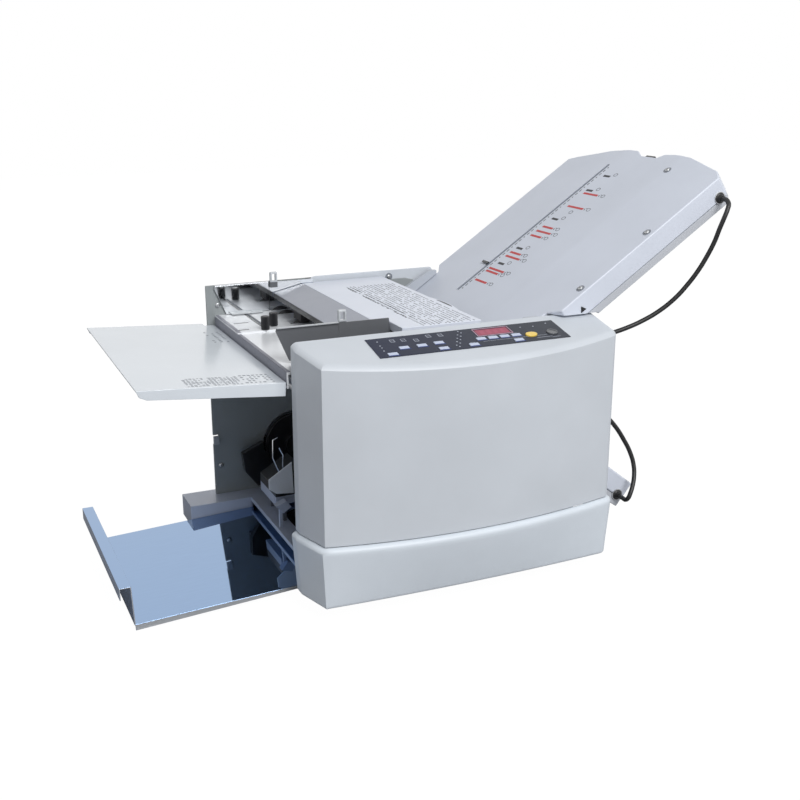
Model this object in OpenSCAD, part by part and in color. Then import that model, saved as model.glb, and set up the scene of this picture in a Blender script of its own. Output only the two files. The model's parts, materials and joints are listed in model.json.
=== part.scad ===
// Desktop paper folding machine: friction feed, four fold rollers, two buckle plates
// with motor-driven stops, and a polished delivery tray.
// X runs along the machine (feed table at -X), Y across it (operator at -Y), Z up.

/* [Front cover] */
// Length of the front cover along the machine
cover_len = 465; // [450:1:500]
// Height of the cover's bottom edge above the table
cover_bottom = 28; // [20:1:34]
// Height of the seam between the skirt and the upper cover
seam_z = 118; // [100:1:140]
// Height of the cover top at its back edge
cover_top = 384; // [380:1:400]
// Depth of the cover from its back edge to its front corners
cover_depth = 72; // [60:1:90]
// How far the front bulges past its corners at the top
bulge_top = 35; // [20:1:45]
// How far the front bulges past its corners at the seam
bulge_seam = 26; // [15:1:35]
// Drop of the sloping top over the cover depth
top_drop = 16; // [10:1:24]
// Wall of the moulded covers
wall = 3; // [2:0.5:4]
// How far the skirt's ridge stands proud of the cover
skirt_proud = 6; // [4:1:8]

/* [Frame] */
// Distance between the outer faces of the two frame plates
frame_gap = 368; // [360:1:380]
// Thickness of the frame plates
plate_t = 4; // [3:0.5:5]
// Height of the base deck
deck_z = 40; // [36:1:46]
// Height of the rear frame plate's top edge
frame_top = 393; // [388:1:400]
// Diameter of the tie bars
tie_d = 14; // [10:1:18]
// Diameter of the rubber feet
foot_d = 24; // [18:1:28]
// Height of the rubber feet
foot_h = 4; // [3:0.5:8]

/* [Infeed] */
// Height of the infeed deck's upper face
infeed_z = 345; // [340:1:348]
// Length of the outer feed table
table_len = 197; // [160:1:240]
// Depth of the feed table's side flanges
table_flange = 19; // [12:1:24]
// Height of the side guides' top edge
guide_top = 392; // [388:1:400]
// Place of the front guide across the machine
front_guide_y = -138; // [-150:1:-120]
// Place of the rear guide across the machine
rear_guide_y = 178; // [170:1:178]
// Diameter of the guide rail
rail_d = 10; // [8:1:12]
// Diameter of the knurled lock knobs
knob_d = 13; // [10:1:16]

/* [Rollers] */
// Radius of the fold rollers
roller_r = 15.6; // [15:0.1:15.8]
// Centre distance of two meshing fold rollers
roller_pitch = 32; // [32:0.1:33]
// Radius of the roller journals
journal_r = 6; // [5:0.5:7]
// Radius of the feed tyres
tyre_r = 19; // [17:0.5:20]
// Radial running clearance of every journal
run_fit = 0.05; // [0.02:0.01:0.1]
// Teeth on each roller gear
gear_teeth = 16; // [14:1:18]

/* [Fold plates] */
// Slope of the upper fold plate in degrees
upper_angle = 34; // [30:0.5:38]
// Slope of the lower fold plate in degrees
lower_angle = 37.7; // [34:0.1:40]
// Thickness of both fold plates
plate_thick = 44; // [40:1:48]
// Length of the upper plate above the machine
upper_len = 359; // [320:1:400]
// Length of the lower plate
lower_len = 290; // [260:1:300]
// Height of the raised field along the middle of the upper plate
crown_h = 7; // [4:1:10]
// Wall of the fold plate shells
shell_t = 2.5; // [2:0.5:3.5]

/* [Delivery] */
// Width of the delivery tray
tray_w = 303; // [280:1:310]
// Length of the tray that shows beside the machine
tray_out = 222; // [200:1:260]
// Slope of the tray in degrees
tray_angle = 3; // [2:0.5:4]
// Thickness of the tray sheet
tray_t = 1.5; // [1:0.5:2.5]
// Height of the tray's end stop
stop_h = 57; // [40:1:70]

/* [Control panel] */
// Length of the control panel
panel_len = 287; // [280:1:300]
// Width of the control panel along the slope
panel_w = 55; // [50:1:57]
// Length of a key
key_len = 14; // [11:0.5:15]
// Width of a key
key_w = 6.5; // [5:0.5:8]
// Gap round every key
key_gap = 0.4; // [0.3:0.05:0.6]
// Travel of every key
key_travel = 0.8; // [0.5:0.1:1]

/* [Cords] */
// Diameter of the two stop-drive cords
cord_d = 7; // [6:0.5:8]

/* [Hidden] */
$fn = 48;
half_w = frame_gap / 2;
inner_w = half_w - plate_t;
cover_back_y = -half_w - 2;
corner_y = cover_back_y - cover_depth;
side_y = cover_back_y - 16;
chamfer_x = 16;
corner_r = 20;
top_angle = atan(top_drop / cover_depth);
front_edge_z = cover_top - (cover_depth + bulge_top) * tan(top_angle) - 6;
front_left_x = 5;
frame_left_x = -17;
frame_right_x = cover_len - 15;
screw_r = 4;
screw_h = 2.4;
rear_lip_y = half_w + 0.5;
rear_back_y = half_w + 58;
rear_left_x = 18;
rear_top_z = 370;
base_left_x = 33;
base_back_y = half_w + 19;
base_wall = 3;
arm_left_x = -69;
arm_front_y = tray_w / 2 - 8.5;

// end of the upper plate and of the tray set the overall box
upper_x = cover_len - 72;
upper_z = cover_top + 2;
upper_half = half_w + 17;
narrow_half = inner_w - 2;
x_right = upper_x + (upper_len - 1) * cos(upper_angle) + plate_thick * sin(upper_angle);
tray_lip = 13;
x_left = -tray_out - tray_lip - 4.6;
y_front = corner_y - bulge_seam - skirt_proud;
y_front_top = corner_y - bulge_top;
y_low = min(y_front, y_front_top);
x_mid = (x_left + x_right) / 2;
y_mid = (y_low + rear_back_y + screw_h) / 2;

// fold rollers: roller 2 is the driven one, and the other three mesh with it
r2 = [upper_x - 113, upper_z - 110];
around = [104, 0, 6, -96];
r1 = r2 + roller_pitch * [cos(around[0]), sin(around[0])];
r3 = r2 + roller_pitch * [cos(around[2]), sin(around[2])];
r4 = r2 + roller_pitch * [cos(around[3]), sin(around[3])];
roller_len = 2 * inner_w - 16;
gear_y = half_w + 5;
gear_w = 8;
feed_at = [112, infeed_z + 1 - tyre_r];
tyre_places = [-120, -50, 87, 160];
delivery_at = [122, 115];
delivery_r = 14;
disc_r = 52;
arm_len = 2 * disc_r + 28;
motor_at = [r2[0] + 50, deck_z + 60];
motor_r = 32;
motor_pulley_r = 14;
drive_pulley_r = 28;
belt_y = half_w + 18;
belt_w = 8;
belt_t = 2;
belt_gap = 0.4;
feed_bar_z = infeed_z + 16;
bar_r = 6;

table_in_x = -6;
table_in_z = infeed_z - 15.5;
table_rise = 3.4;
table_t = 2;
table_front_y = -half_w + 2;
table_back_y = inner_w - 2;
table_wide_y = half_w + 8;
table_step = -16;
table_pivot = [-15, infeed_z - 24];
pin_r = 3;
slot_x = 46;
slot_w = 5;
rail_z = infeed_z - 23;
shelf_y = 49;
guide_left_x = -4;
guide_split_x = 86;
guide_right_x = 161;
guide_t = 2;
sep_left_x = 93;
lid_left_x = 144;
lid_right_x = upper_x - 107;
lid_z = cover_top + 2;
lid_pivot = [lid_right_x - 7, lid_z - 7];
lid_pin_r = 2.5;
tab_r = 199;
lid_notch_x = guide_right_x + 2.5;
knob_h = 21;
stem_r = 3;
front_knob = [40, 52];
rear_knob = [59, 71];

panel_x = 98;
panel_t = 2;
key_places = [[20.7, 48], [42.7, 33.7], [69, 32.8], [95, 30.5], [94.7, 47.5], [140.4, 46.5],
              [157.8, 32.7], [176, 32.7], [194, 32.7], [212, 32.7], [208.7, 47.5]];
start_at = [233.5, 37.5];
stop_at = [267, 37];
start_size = [18, 12];
stop_r = 8;
display_at = [184.5, 14.5];
display_size = [50, 17];

upper_gland = [315, -27];
lower_gland = [-14, -28];
gland_r = 8;
gland_h = 7;
socket_r = 7;
socket_h = 10;
upper_socket_z = 333;
lower_socket_z = 226;
socket_y = -half_w + 22;
end_x = frame_right_x + 2;
end_t = 2;
end_low_z = deck_z + 150;
end_top_z = infeed_z + 7;

// routes of the two cords, from plate to socket and from socket to plate
upper_route = [[669, -208, 539], [669, -215, 539], [668, -221, 537], [666, -226, 533], [662, -229, 526],
               [658, -230, 518], [655, -229, 509], [652, -227, 498], [648, -223, 479], [640, -217, 455],
               [630, -212, 434], [618, -206, 414], [602, -200, 394], [581, -192, 375], [558, -185, 361],
               [535, -179, 351], [512, -172, 343], [492, -166, 337], [478, -163, 334], [470, -162, 333],
               [464, -162, 333]];
lower_route = [[464, -162, 226], [472, -162, 226], [484, -162, 224], [500, -163, 218], [515, -165, 208],
               [530, -168, 192], [545, -172, 169], [555, -177, 148], [559, -183, 128], [556, -190, 111],
               [549, -197, 99], [543, -201, 90], [539, -201, 82], [538, -196, 78], [538, -189, 78],
               [538, -180, 78]];

// moves the machine so that its box stands centred on the origin
module place() {
    translate([-x_mid, -y_mid, 0]) children();
}

// a box given by its lowest and highest corners
module span(low, high) {
    translate(low) cube(high - low);
}

// a cylinder along Y between two places, at [x, z]
module rod(at, from_y, to_y, r) {
    translate([at[0], to_y, at[1]]) rotate([90, 0, 0]) cylinder(r = r, h = to_y - from_y);
}

// a profile in the XZ plane, extruded along Y
module slab_y(from_y, to_y) {
    translate([0, to_y, 0]) rotate([90, 0, 0]) linear_extrude(to_y - from_y) children();
}

// plan of the front cover, grown outwards by g, with the front bulging by b
function front_arc(b, g) =
    let (xa = chamfer_x, xb = cover_len - 13, half = (xb - xa) / 2)
    let (r = (half * half + b * b) / (2 * b), cx = (xa + xb) / 2, cy = corner_y - b + r)
    let (reach = asin(half / r))
    [for (i = [0 : 24]) let (a = -reach + 2 * reach * i / 24) [cx + (r + g) * sin(a), cy - (r + g) * cos(a)]];

function cover_plan(b, g) = concat(
    [[-g, cover_back_y], [-g, side_y], [chamfer_x - g * 0.8, corner_y - g * 0.6]],
    front_arc(b, g),
    [for (i = [1 : 6]) let (a = 90 * i / 6)
        [cover_len - corner_r + (corner_r + g) * sin(a), corner_y + corner_r + 3 - (corner_r + g) * cos(a)]],
    [[cover_len + g, cover_back_y]]);

module plan_slab(z, h, b, g) {
    translate([0, 0, z]) linear_extrude(h) polygon(cover_plan(b, g));
}

// everything under the sloping top, lowered by d
module under_top(d) {
    translate([-20, cover_back_y, cover_top - d]) rotate([top_angle, 0, 0])
        translate([0, -400, -500]) cube([cover_len + 60, 420, 500]);
}

// frame of the sloping panel: +X along it, -Y down the slope, origin at its back left corner
panel_drop = 16 * tan(top_angle);
module on_panel() {
    translate([panel_x, cover_back_y - 16, cover_top - panel_drop]) rotate([top_angle, 0, 0]) children();
}

module front_cover() color("gainsboro") place() difference() {
    intersection() {
        hull() {
            plan_slab(seam_z, 1, bulge_seam, 0);
            plan_slab(front_edge_z, 1, bulge_top, 0);
            plan_slab(cover_top + 10, 1, bulge_top, 0);
        }
        under_top(0);
    }
    intersection() {
        hull() {
            plan_slab(seam_z - 2, 1, bulge_seam, -wall);
            plan_slab(cover_top + 10, 1, bulge_top, -wall);
            translate([0, wall, 0]) plan_slab(seam_z - 2, 1, bulge_seam, -wall);
            translate([0, wall, 0]) plan_slab(cover_top + 10, 1, bulge_top, -wall);
        }
        under_top(wall);
    }
    on_panel() translate([2, -panel_w + 2, -10]) cube([panel_len - 4, panel_w - 4, 20]);
}

module front_skirt() color("gainsboro") place() difference() {
    hull() {
        plan_slab(cover_bottom, 1, 6, 0);
        plan_slab(seam_z - 9, 4, bulge_seam, skirt_proud);
        plan_slab(seam_z - 1, 1, bulge_seam, 0);
    }
    hull() {
        translate([0, wall, 0]) plan_slab(cover_bottom - 1, 1, 6, -wall);
        translate([0, wall, 0]) plan_slab(seam_z - 9, 4, bulge_seam, skirt_proud - wall);
        translate([0, wall, 0]) plan_slab(seam_z + 1, 1, bulge_seam, -wall);
        plan_slab(cover_bottom - 1, 1, 6, -wall);
        plan_slab(seam_z + 1, 1, bulge_seam, -wall);
    }
}

module rear_cover() color("gainsboro") place() {
    difference() {
        translate([0, 0, cover_bottom]) linear_extrude(rear_top_z - cover_bottom)
            polygon(rear_plan(0));
        translate([0, 0, cover_bottom - 1]) linear_extrude(rear_top_z - cover_bottom + 1 - wall)
            polygon(rear_plan(wall));
        span([cover_len - 110, rear_back_y - 10, 60], [cover_len - 62, rear_back_y + 1, 88]);
        span([cover_len - 50, rear_back_y - 10, 62], [cover_len - 26, rear_back_y + 1, 86]);
        // notch over the base pan's arm
        span([rear_left_x - 1, rear_lip_y - 1, cover_bottom - 1],
             [rear_left_x + wall + 1, base_back_y + 0.5, deck_z + 0.5]);
    }
    slab_y(rear_lip_y, rear_lip_y + wall)
        polygon([[152, rear_top_z - 1], [152, frame_top - 2], [170, frame_top + 1],
                 [upper_x - 14, frame_top + 1], [upper_x - 2, rear_top_z + 8], [upper_x, rear_top_z - 1]]);
}

// plan of the rear cover, shrunk by g, open towards the frame
function rear_plan(g) =
    let (a = rear_left_x + g, b = cover_len - g, c = rear_back_y - g, r = 14 - g)
    concat([[a, rear_lip_y - (g > 0 ? 1 : 0)]],
        [for (i = [0 : 6]) let (t = 90 * i / 6) [a + r - r * cos(t), c - r + r * sin(t)]],
        [for (i = [0 : 6]) let (t = 90 * i / 6) [b - r + r * sin(t), c - r + r * cos(t)]],
        [[b, rear_lip_y - (g > 0 ? 1 : 0)]]);

module base_pan() color("silver") place() {
    difference() {
        span([base_left_x, -half_w, foot_h], [cover_len - 5, base_back_y, deck_z]);
        span([base_left_x + base_wall, -half_w + base_wall, foot_h - 1],
             [cover_len - 5 - base_wall, base_back_y - base_wall, deck_z - base_wall]);
        span([base_left_x - 1, -tray_w / 2 - 13, foot_h - 1],
             [base_left_x + base_wall + 1, tray_w / 2 - 6, deck_z - 7]);
        span([base_left_x + 27, -150, deck_z - 10], [232, 127, deck_z + 1]);
    }
    difference() {
        span([arm_left_x, arm_front_y, foot_h], [base_left_x, base_back_y, deck_z]);
        span([arm_left_x + base_wall, arm_front_y + base_wall, foot_h - 1],
             [base_left_x - base_wall, base_back_y - base_wall, deck_z - base_wall]);
    }
    for (p = foot_places)
        span([p[0] - foot_d / 2 - 4, p[1] - pad_reach, foot_h],
             [p[0] + foot_d / 2 + 4, p[1] + pad_reach, foot_h + base_wall]);
    tray_runner(tray_front_y, 1, -half_w + 1);
    tray_runner(tray_back_y, -1, base_back_y - 1);
}

// bent strip that the tray's sheet slides on, carried by the pan's side wall
module tray_runner(edge_y, inward, wall_y) {
    lip = [edge_y + inward * 4, edge_y + inward * 12];
    web = [edge_y + inward * 4, edge_y + inward * 6];
    tray_frame() {
        span([base_left_x + 7, min(lip), -tray_t - 3.4], [base_left_x + 92, max(lip), -tray_t - 0.4]);
        span([base_left_x + 7, min(web), -14], [base_left_x + 92, max(web), -tray_t - 3]);
        span([base_left_x + 7, min(wall_y, web[1]), -14], [base_left_x + 92, max(wall_y, web[1]), -12]);
    }
}

foot_inset = 17;
pad_reach = foot_inset - 1;
foot_places = [[base_left_x + 24, -half_w + foot_inset], [cover_len - 27, -half_w + foot_inset],
               [cover_len - 27, base_back_y - foot_inset], [arm_left_x + 22, base_back_y - foot_inset]];

module feet() color("dimgray") place() for (p = foot_places)
    translate([p[0], p[1], 0]) cylinder(d1 = foot_d - 3, d2 = foot_d, h = foot_h);

// outline of a frame plate in XZ
module frame_outline(left_x, top_z) {
    polygon([[left_x, deck_z], [left_x, top_z], [150, top_z], [154, cover_top - 5], [330, cover_top - 5],
             [frame_right_x, 346], [frame_right_x, deck_z]]);
}

bearing_places = [r1, r2, r3, r4, feed_at, delivery_at, motor_at];
bush_r = journal_r + 4;

module frame_holes(from_y, to_y) {
    for (p = bearing_places) rod(p, from_y - 1, to_y + 1, bush_r);
}

module front_frame() color("darkgray") place() difference() {
    slab_y(-half_w, -inner_w) frame_outline(front_left_x, cover_top - 6);
    frame_holes(-half_w, -inner_w);
}

module rear_frame() color("slategray") place() difference() {
    slab_y(inner_w, half_w) frame_outline(frame_left_x, frame_top);
    for (p = [r1, r2, r3, r4, feed_at, motor_at]) rod(p, inner_w - 1, half_w + 1, bush_r);
    rod(delivery_at, inner_w - 1, half_w + 1, disc_r + 2);
    span([frame_left_x - 1, inner_w - 8, 128], [frame_left_x + 9, half_w + 1, 144]);
}

tie_places = [[front_left_x + 19, infeed_z - 39], [delivery_at[0] - 2, delivery_at[1] + 100],
              [frame_right_x - 50, r2[1] - 4], [frame_right_x - 70, deck_z + 18],
              [frame_right_x - 20, deck_z + 52]];

module tie_bars() color("lightgray") place() {
    for (p = tie_places) rod(p, -inner_w, inner_w, tie_d / 2);
    // arm that carries the delivery bearing across the big opening
    difference() {
        slab_y(half_w, half_w + 3) translate(delivery_at) square([arm_len, 30], center = true);
        rod(delivery_at, half_w - 1, half_w + 4, bush_r);
    }
}

module end_panel() color("gainsboro") place() difference() {
    span([end_x, -half_w, end_low_z], [end_x + end_t, half_w, end_top_z]);
    for (z = [upper_socket_z, lower_socket_z])
        translate([end_x - 1, socket_y, z]) rotate([0, 90, 0]) cylinder(r = socket_r - 1, h = end_t + 2);
}

module bearings() color("goldenrod") place() {
    for (p = bearing_places, side = [-1, 1])
        if (!(p == delivery_at && side == 1) && !(p == motor_at && side == -1)) difference() {
            union() {
                rod(p, side < 0 ? -half_w : inner_w, side < 0 ? -inner_w : half_w, bush_r);
                rod(p, side < 0 ? -inner_w : inner_w - 1.5, side < 0 ? -inner_w + 1.5 : inner_w, bush_r + 2);
            }
            rod(p, -half_w - 2, half_w + 2, journal_r + run_fit);
        }
    difference() {
        rod(delivery_at, half_w, half_w + 3, bush_r);
        rod(delivery_at, half_w - 2, half_w + 6, journal_r + run_fit);
    }
    // plug of the motor bush on the front plate
    rod(motor_at, -half_w, -inner_w, bush_r);
}

// tooth flank outline of one roller gear, about its own centre
gear_m = roller_pitch / gear_teeth;
function gear_points(turn) = [for (i = [0 : gear_teeth - 1]) let (p = 360 / gear_teeth, a = p * i + turn)
    for (k = [[-0.27, -1.15], [-0.13, 0.72], [0.13, 0.72], [0.27, -1.15]])
        let (r = roller_pitch / 2 + k[1] * gear_m) [r * cos(a + p * k[0]), r * sin(a + p * k[0])]];

module gear(at, turn) {
    translate([at[0], gear_y + gear_w, at[1]]) rotate([90, 0, 0]) linear_extrude(gear_w)
        polygon(gear_points(turn));
}

// one fold roller: grooved sleeve, journals and gear
module fold_roller(at, turn, extra) {
    groove_n = 9;
    step = roller_len / groove_n;
    difference() {
        rod(at, -roller_len / 2, roller_len / 2, roller_r);
        for (i = [1 : groove_n - 1]) difference() {
            rod(at, -roller_len / 2 + i * step - 1.5, -roller_len / 2 + i * step + 1.5, roller_r + 1);
            rod(at, -roller_len / 2 + i * step - 2, -roller_len / 2 + i * step + 2, roller_r - 1.5);
        }
    }
    rod(at, -half_w - 4, -roller_len / 2, journal_r);
    rod(at, roller_len / 2, gear_y + gear_w + extra, journal_r);
    gear(at, turn);
}

// turn of a gear at the given side of roller 2 that sets its teeth in roller 2's gaps
tooth = 360 / gear_teeth;
function meshed(side) = 2 * side + 180 - tooth / 2;

module fold_roller_1() color("dimgray") place() fold_roller(r1, meshed(around[0]), 1);
module fold_roller_2() color("dimgray") place() {
    fold_roller(r2, 0, belt_w + 6);
    pulley(r2, drive_pulley_r);
}
module fold_roller_3() color("dimgray") place() fold_roller(r3, meshed(around[2]), 1);
module fold_roller_4() color("dimgray") place() fold_roller(r4, meshed(around[3]), 1);

// a flanged belt pulley on the drive belt's plane
module pulley(at, r) {
    rod(at, belt_y - 1.5, belt_y + belt_w + 1.5, r);
    rod(at, belt_y - 2.5, belt_y - 1.5, r + 3);
    rod(at, belt_y + belt_w + 1.5, belt_y + belt_w + 2.5, r + 3);
}

module drive_motor() color("dimgray") place() difference() {
    union() {
        rod(motor_at, inner_w - 92, inner_w - 1.5, motor_r);
        rod(motor_at, inner_w - 100, inner_w - 92, motor_r - 6);
        span([motor_at[0] - 12, inner_w - 80, deck_z],
             [motor_at[0] + 12, inner_w - 30, motor_at[1] - motor_r + 4]);
    }
    rod(motor_at, inner_w - 50, half_w, journal_r + 1);
}

module motor_pulley() color("silver") place() {
    rod(motor_at, inner_w - 45, belt_y + belt_w + 4, journal_r);
    pulley(motor_at, motor_pulley_r);
}

module belt_loop(grow) {
    slab_y(belt_y, belt_y + belt_w) hull() {
        translate(r2) circle(r = drive_pulley_r + belt_gap + grow);
        translate(motor_at) circle(r = motor_pulley_r + belt_gap + grow);
    }
}

module drive_belt() color("black") place() difference() {
    belt_loop(belt_t);
    slab_y(belt_y - 1, belt_y + belt_w + 1) hull() {
        translate(r2) circle(r = drive_pulley_r + belt_gap);
        translate(motor_at) circle(r = motor_pulley_r + belt_gap);
    }
}

module feed_roller() color("dimgray") place() {
    rod(feed_at, -half_w - 4, gear_y + gear_w, journal_r);
    for (y = tyre_places) rod(feed_at, y - 9, y + 9, tyre_r);
}

module delivery_roller() color("black") place() {
    rod(delivery_at, -half_w - 4, half_w + 8, journal_r);
    for (y = [-110, -40, 40, 110]) rod(delivery_at, y - 12, y + 12, delivery_r);
    rod(delivery_at, inner_w - 14, inner_w - 5, disc_r);
    rod(delivery_at, inner_w - 22, inner_w - 14, 20);
}

module infeed_deck() color("lightsteelblue") place() difference() {
    union() {
        span([guide_left_x, -inner_w, infeed_z - 6], [170, inner_w, infeed_z - 3]);
        span([guide_left_x, shelf_y, infeed_z - 6], [170, inner_w, infeed_z]);
        span([guide_left_x, -inner_w, infeed_z - 25], [guide_left_x + 2, inner_w, infeed_z - 3]);
        // ramp that leads the sheet down to the first pair of rollers
        slab_y(-160, 160) polygon([[160, infeed_z - 4], [170, infeed_z - 4], [r2[0] - 25, r2[1] + 21.5],
                                   [r2[0] - 25, r2[1] + 19.5], [168, infeed_z - 6]]);
    }
    span([slot_x - slot_w / 2, front_guide_y - 38, infeed_z - 20], [slot_x + slot_w / 2, -30, infeed_z + 1]);
    span([slot_x - slot_w / 2, 60, infeed_z - 10], [slot_x + slot_w / 2, inner_w - 2, infeed_z + 1]);
    span([6, 112, infeed_z - 10], [35, 116.5, infeed_z + 1]);
    span([1, 71, infeed_z - 10], [23, 75, infeed_z + 1]);
    for (y = tyre_places) span([88, y - 14, infeed_z - 10], [136, y + 14, infeed_z + 1]);
    for (at = [front_knob, rear_knob])
        translate([at[0], at[1], infeed_z - 8]) cylinder(r = stem_r + run_fit, h = 10);
}

module side_plates() color("dimgray") place() {
    difference() {
        union() {
            slab_y(front_guide_y, front_guide_y + guide_t)
                polygon([[guide_split_x + 0.5, infeed_z], [guide_split_x + 0.5, guide_top],
                         [guide_right_x, guide_top], [guide_right_x + 2, infeed_z + 28],
                         [guide_right_x + 2, infeed_z]]);
            slab_y(rear_guide_y - guide_t, rear_guide_y)
                polygon([[guide_split_x + 0.5, infeed_z], [guide_split_x + 0.5, guide_top],
                         [guide_right_x, guide_top], [guide_right_x + 2, infeed_z]]);
        }
        rod([feed_at[0], feed_bar_z], -inner_w, inner_w, bar_r + run_fit);
    }
    // clips that stand on the guides
    for (y = [front_guide_y + guide_t, rear_guide_y - guide_t - 6]) difference() {
        span([guide_split_x + 1, y, guide_top - 8], [guide_split_x + 13, y + 6, guide_top + 17]);
        span([guide_split_x + 4, y - 1, guide_top + 3], [guide_split_x + 10, y + 7, guide_top + 14]);
    }
}

module guide_rail() color("silver") place() rod([slot_x, rail_z], -inner_w, inner_w, rail_d / 2);

// a sliding side guide: wall, foot, neck through the slot and a bored block on the rail
module side_guide(face_y, inward) {
    low = min(face_y, face_y + inward * guide_t);
    foot_low = min(face_y, face_y + inward * 14);
    neck_low = min(face_y + inward * 4, face_y + inward * 14);
    slab_y(low, low + guide_t)
        polygon([[guide_left_x, guide_top - 4], [guide_left_x + 1, guide_top], [guide_split_x, guide_top],
                 [guide_split_x, infeed_z + 1], [guide_left_x + 18, infeed_z + 1]]);
    span([guide_left_x + 1, low - (inward > 0 ? 3 : 0), guide_top],
         [guide_split_x, low + guide_t + (inward > 0 ? 0 : 1), guide_top + 1.5]);
    span([20, foot_low, infeed_z + 1], [72, foot_low + 14, infeed_z + 2.5]);
    span([slot_x - slot_w / 2 + 0.4, neck_low, rail_z + 6],
         [slot_x + slot_w / 2 - 0.4, neck_low + 10, infeed_z + 1]);
    difference() {
        span([slot_x - 10, neck_low - 4, rail_z - 9], [slot_x + 10, neck_low + 14, rail_z + 9]);
        rod([slot_x, rail_z], neck_low - 5, neck_low + 15, rail_d / 2 + run_fit);
    }
}

module front_guide() color("dimgray") place() side_guide(front_guide_y, 1);
module rear_guide() color("dimgray") place() side_guide(rear_guide_y, -1);

// knurled knob whose threaded stem passes through the deck
module lock_knob(at) {
    translate([at[0], at[1], infeed_z + 0.4])
        linear_extrude(knob_h) polygon([for (i = [0 : 47]) let (r = knob_d / 2 - (i % 2) * 0.5)
            [r * cos(i * 7.5), r * sin(i * 7.5)]]);
    translate([at[0], at[1], infeed_z - 10]) cylinder(r = stem_r, h = 12);
}

module lock_knob_front() color("dimgray") place() lock_knob(front_knob);
module lock_knob_rear() color("dimgray") place() lock_knob(rear_knob);

// outer feed table in its own frame: origin at the inner edge, rising to the left
module table_frame() {
    translate([table_in_x, 0, table_in_z]) rotate([0, table_rise, 0]) children();
}

module feed_table() color("white") place() {
    table_frame() {
        span([-table_len, table_front_y, -table_t], [0, table_back_y, 0]);
        span([-table_len, table_back_y - 1, -table_t], [table_step, table_wide_y, 0]);
        for (e = [[table_front_y, 0], [table_wide_y - 1.5, table_step]]) slab_y(e[0], e[0] + 1.5)
            polygon([[-table_len, 0], [e[1], 0], [e[1], -table_flange], [-table_len + 14, -table_flange + 6],
                     [-table_len + 4, -table_flange + 10]]);
    }
    for (y = [-100, 100]) difference() {
        slab_y(y - 4, y + 4)
            polygon([[table_pivot[0] - 7, table_in_z - 0.5], [table_pivot[0] + 7, table_in_z - 0.5],
                     [table_pivot[0] + 7, table_pivot[1] - 7], [table_pivot[0] - 7, table_pivot[1] - 7]]);
        rod(table_pivot, y - 5, y + 5, pin_r + run_fit);
    }
}

module hinge_pins() color("silver") place() {
    for (y = [-100, 100]) {
        rod(table_pivot, y - 10, y + 10, pin_r);
        for (s = [-10, 7]) slab_y(y + s, y + s + 3)
            polygon([[table_pivot[0] - 4, table_pivot[1] - 5], [table_pivot[0] - 4, table_pivot[1] + 4],
                     [guide_left_x, table_pivot[1] + 4], [guide_left_x, table_pivot[1] - 5]]);
    }
    rod(lid_pivot, -inner_w, inner_w, lid_pin_r);
}

// height of the separator cover's underside at x
sep_rise = 10.5;
function under_separator(x) = lid_z - 3 - sep_rise * (lid_left_x - 1 - x) / (lid_left_x - 4 - sep_left_x);

module separator_cover() color("darkgray") place()
    slab_y(front_guide_y + 5, rear_guide_y - 5)
        polygon([[sep_left_x, infeed_z + 22], [sep_left_x, lid_z - sep_rise - 0.5], [lid_left_x - 1, lid_z],
                 [lid_left_x - 1, lid_z - 3], [sep_left_x + 3, lid_z - 3 - sep_rise],
                 [sep_left_x + 3, infeed_z + 22]]);

module separator_pad() color("dimgray") place() {
    rod([feed_at[0], feed_bar_z], -inner_w, inner_w, bar_r);
    span([feed_at[0] - 9, 70, infeed_z + 2], [feed_at[0] + 9, 104, feed_bar_z + 4]);
    for (y = [front_guide_y + 8, rear_guide_y - 20]) slab_y(y, y + 12)
        polygon([[feed_at[0] - 4, feed_bar_z + 4], [feed_at[0] - 4, under_separator(feed_at[0] - 4)],
                 [feed_at[0] + 4, under_separator(feed_at[0] + 4)], [feed_at[0] + 4, feed_bar_z + 4]]);
}

module top_cover() color("whitesmoke") place() difference() {
    union() {
        span([lid_left_x, front_guide_y + 5, lid_z - wall], [lid_notch_x, rear_guide_y - 5, lid_z]);
        span([lid_notch_x, -inner_w + 2, lid_z - wall], [lid_right_x, inner_w - 2, lid_z]);
        for (y = [-inner_w + 2, inner_w - 2 - wall])
            span([lid_notch_x, y, lid_z - 12], [lid_right_x, y + wall, lid_z]);
        span([lid_left_x, front_guide_y + 5, lid_z - 10], [lid_left_x + wall, rear_guide_y - 5, lid_z]);
        for (y = [-110, 80]) rod(lid_pivot, y, y + 30, 6);
        // thumb tab on the edge over the fold plate
        intersection() {
            translate([lid_right_x + 6 - tab_r, -58, lid_z - wall]) cylinder(r = tab_r, h = wall);
            span([lid_right_x - 5, -112, lid_z - wall], [lid_right_x + 10, 0, lid_z]);
        }
    }
    rod(lid_pivot, -half_w, half_w, lid_pin_r + run_fit);
}

// frame of the upper plate: +X up the slope, +Z out of its face, origin on the front crease
module on_upper() {
    translate([upper_x, 0, upper_z]) rotate([0, -upper_angle, 0]) children();
}

part_w = -32;
lead_w = -24.5;
lead_t = 1.5;
lead_half = 148;
upper_low_u = -85;
wide_u = 12;
slot_y = 64;
slot_from = -25;
slot_to = 315;
crown_from_y = -85;
crown_to_y = 55;

// plan of the upper plate in [u, y], shrunk by g
function upper_plan(g) = let (e = upper_len - g, a = upper_half - g, b = narrow_half - g) [
    [upper_low_u + g, -b], [wide_u - 14 + g, -b], [wide_u + g, -a], [e - 31, -a], [e - 24, -a + 9],
    [e - 18, -184], [e - 1, -106],
    [e, -69], [e - 3, -43], [e - 13, -33], [e - 13, 8], [e - 2, 30], [e - 2, 52], [e - 8, 102],
    [e - 16, 128], [e - 30, 180], [e - 38, a], [wide_u + g, a], [wide_u - 14 + g, b], [upper_low_u + g, b]];

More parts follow.
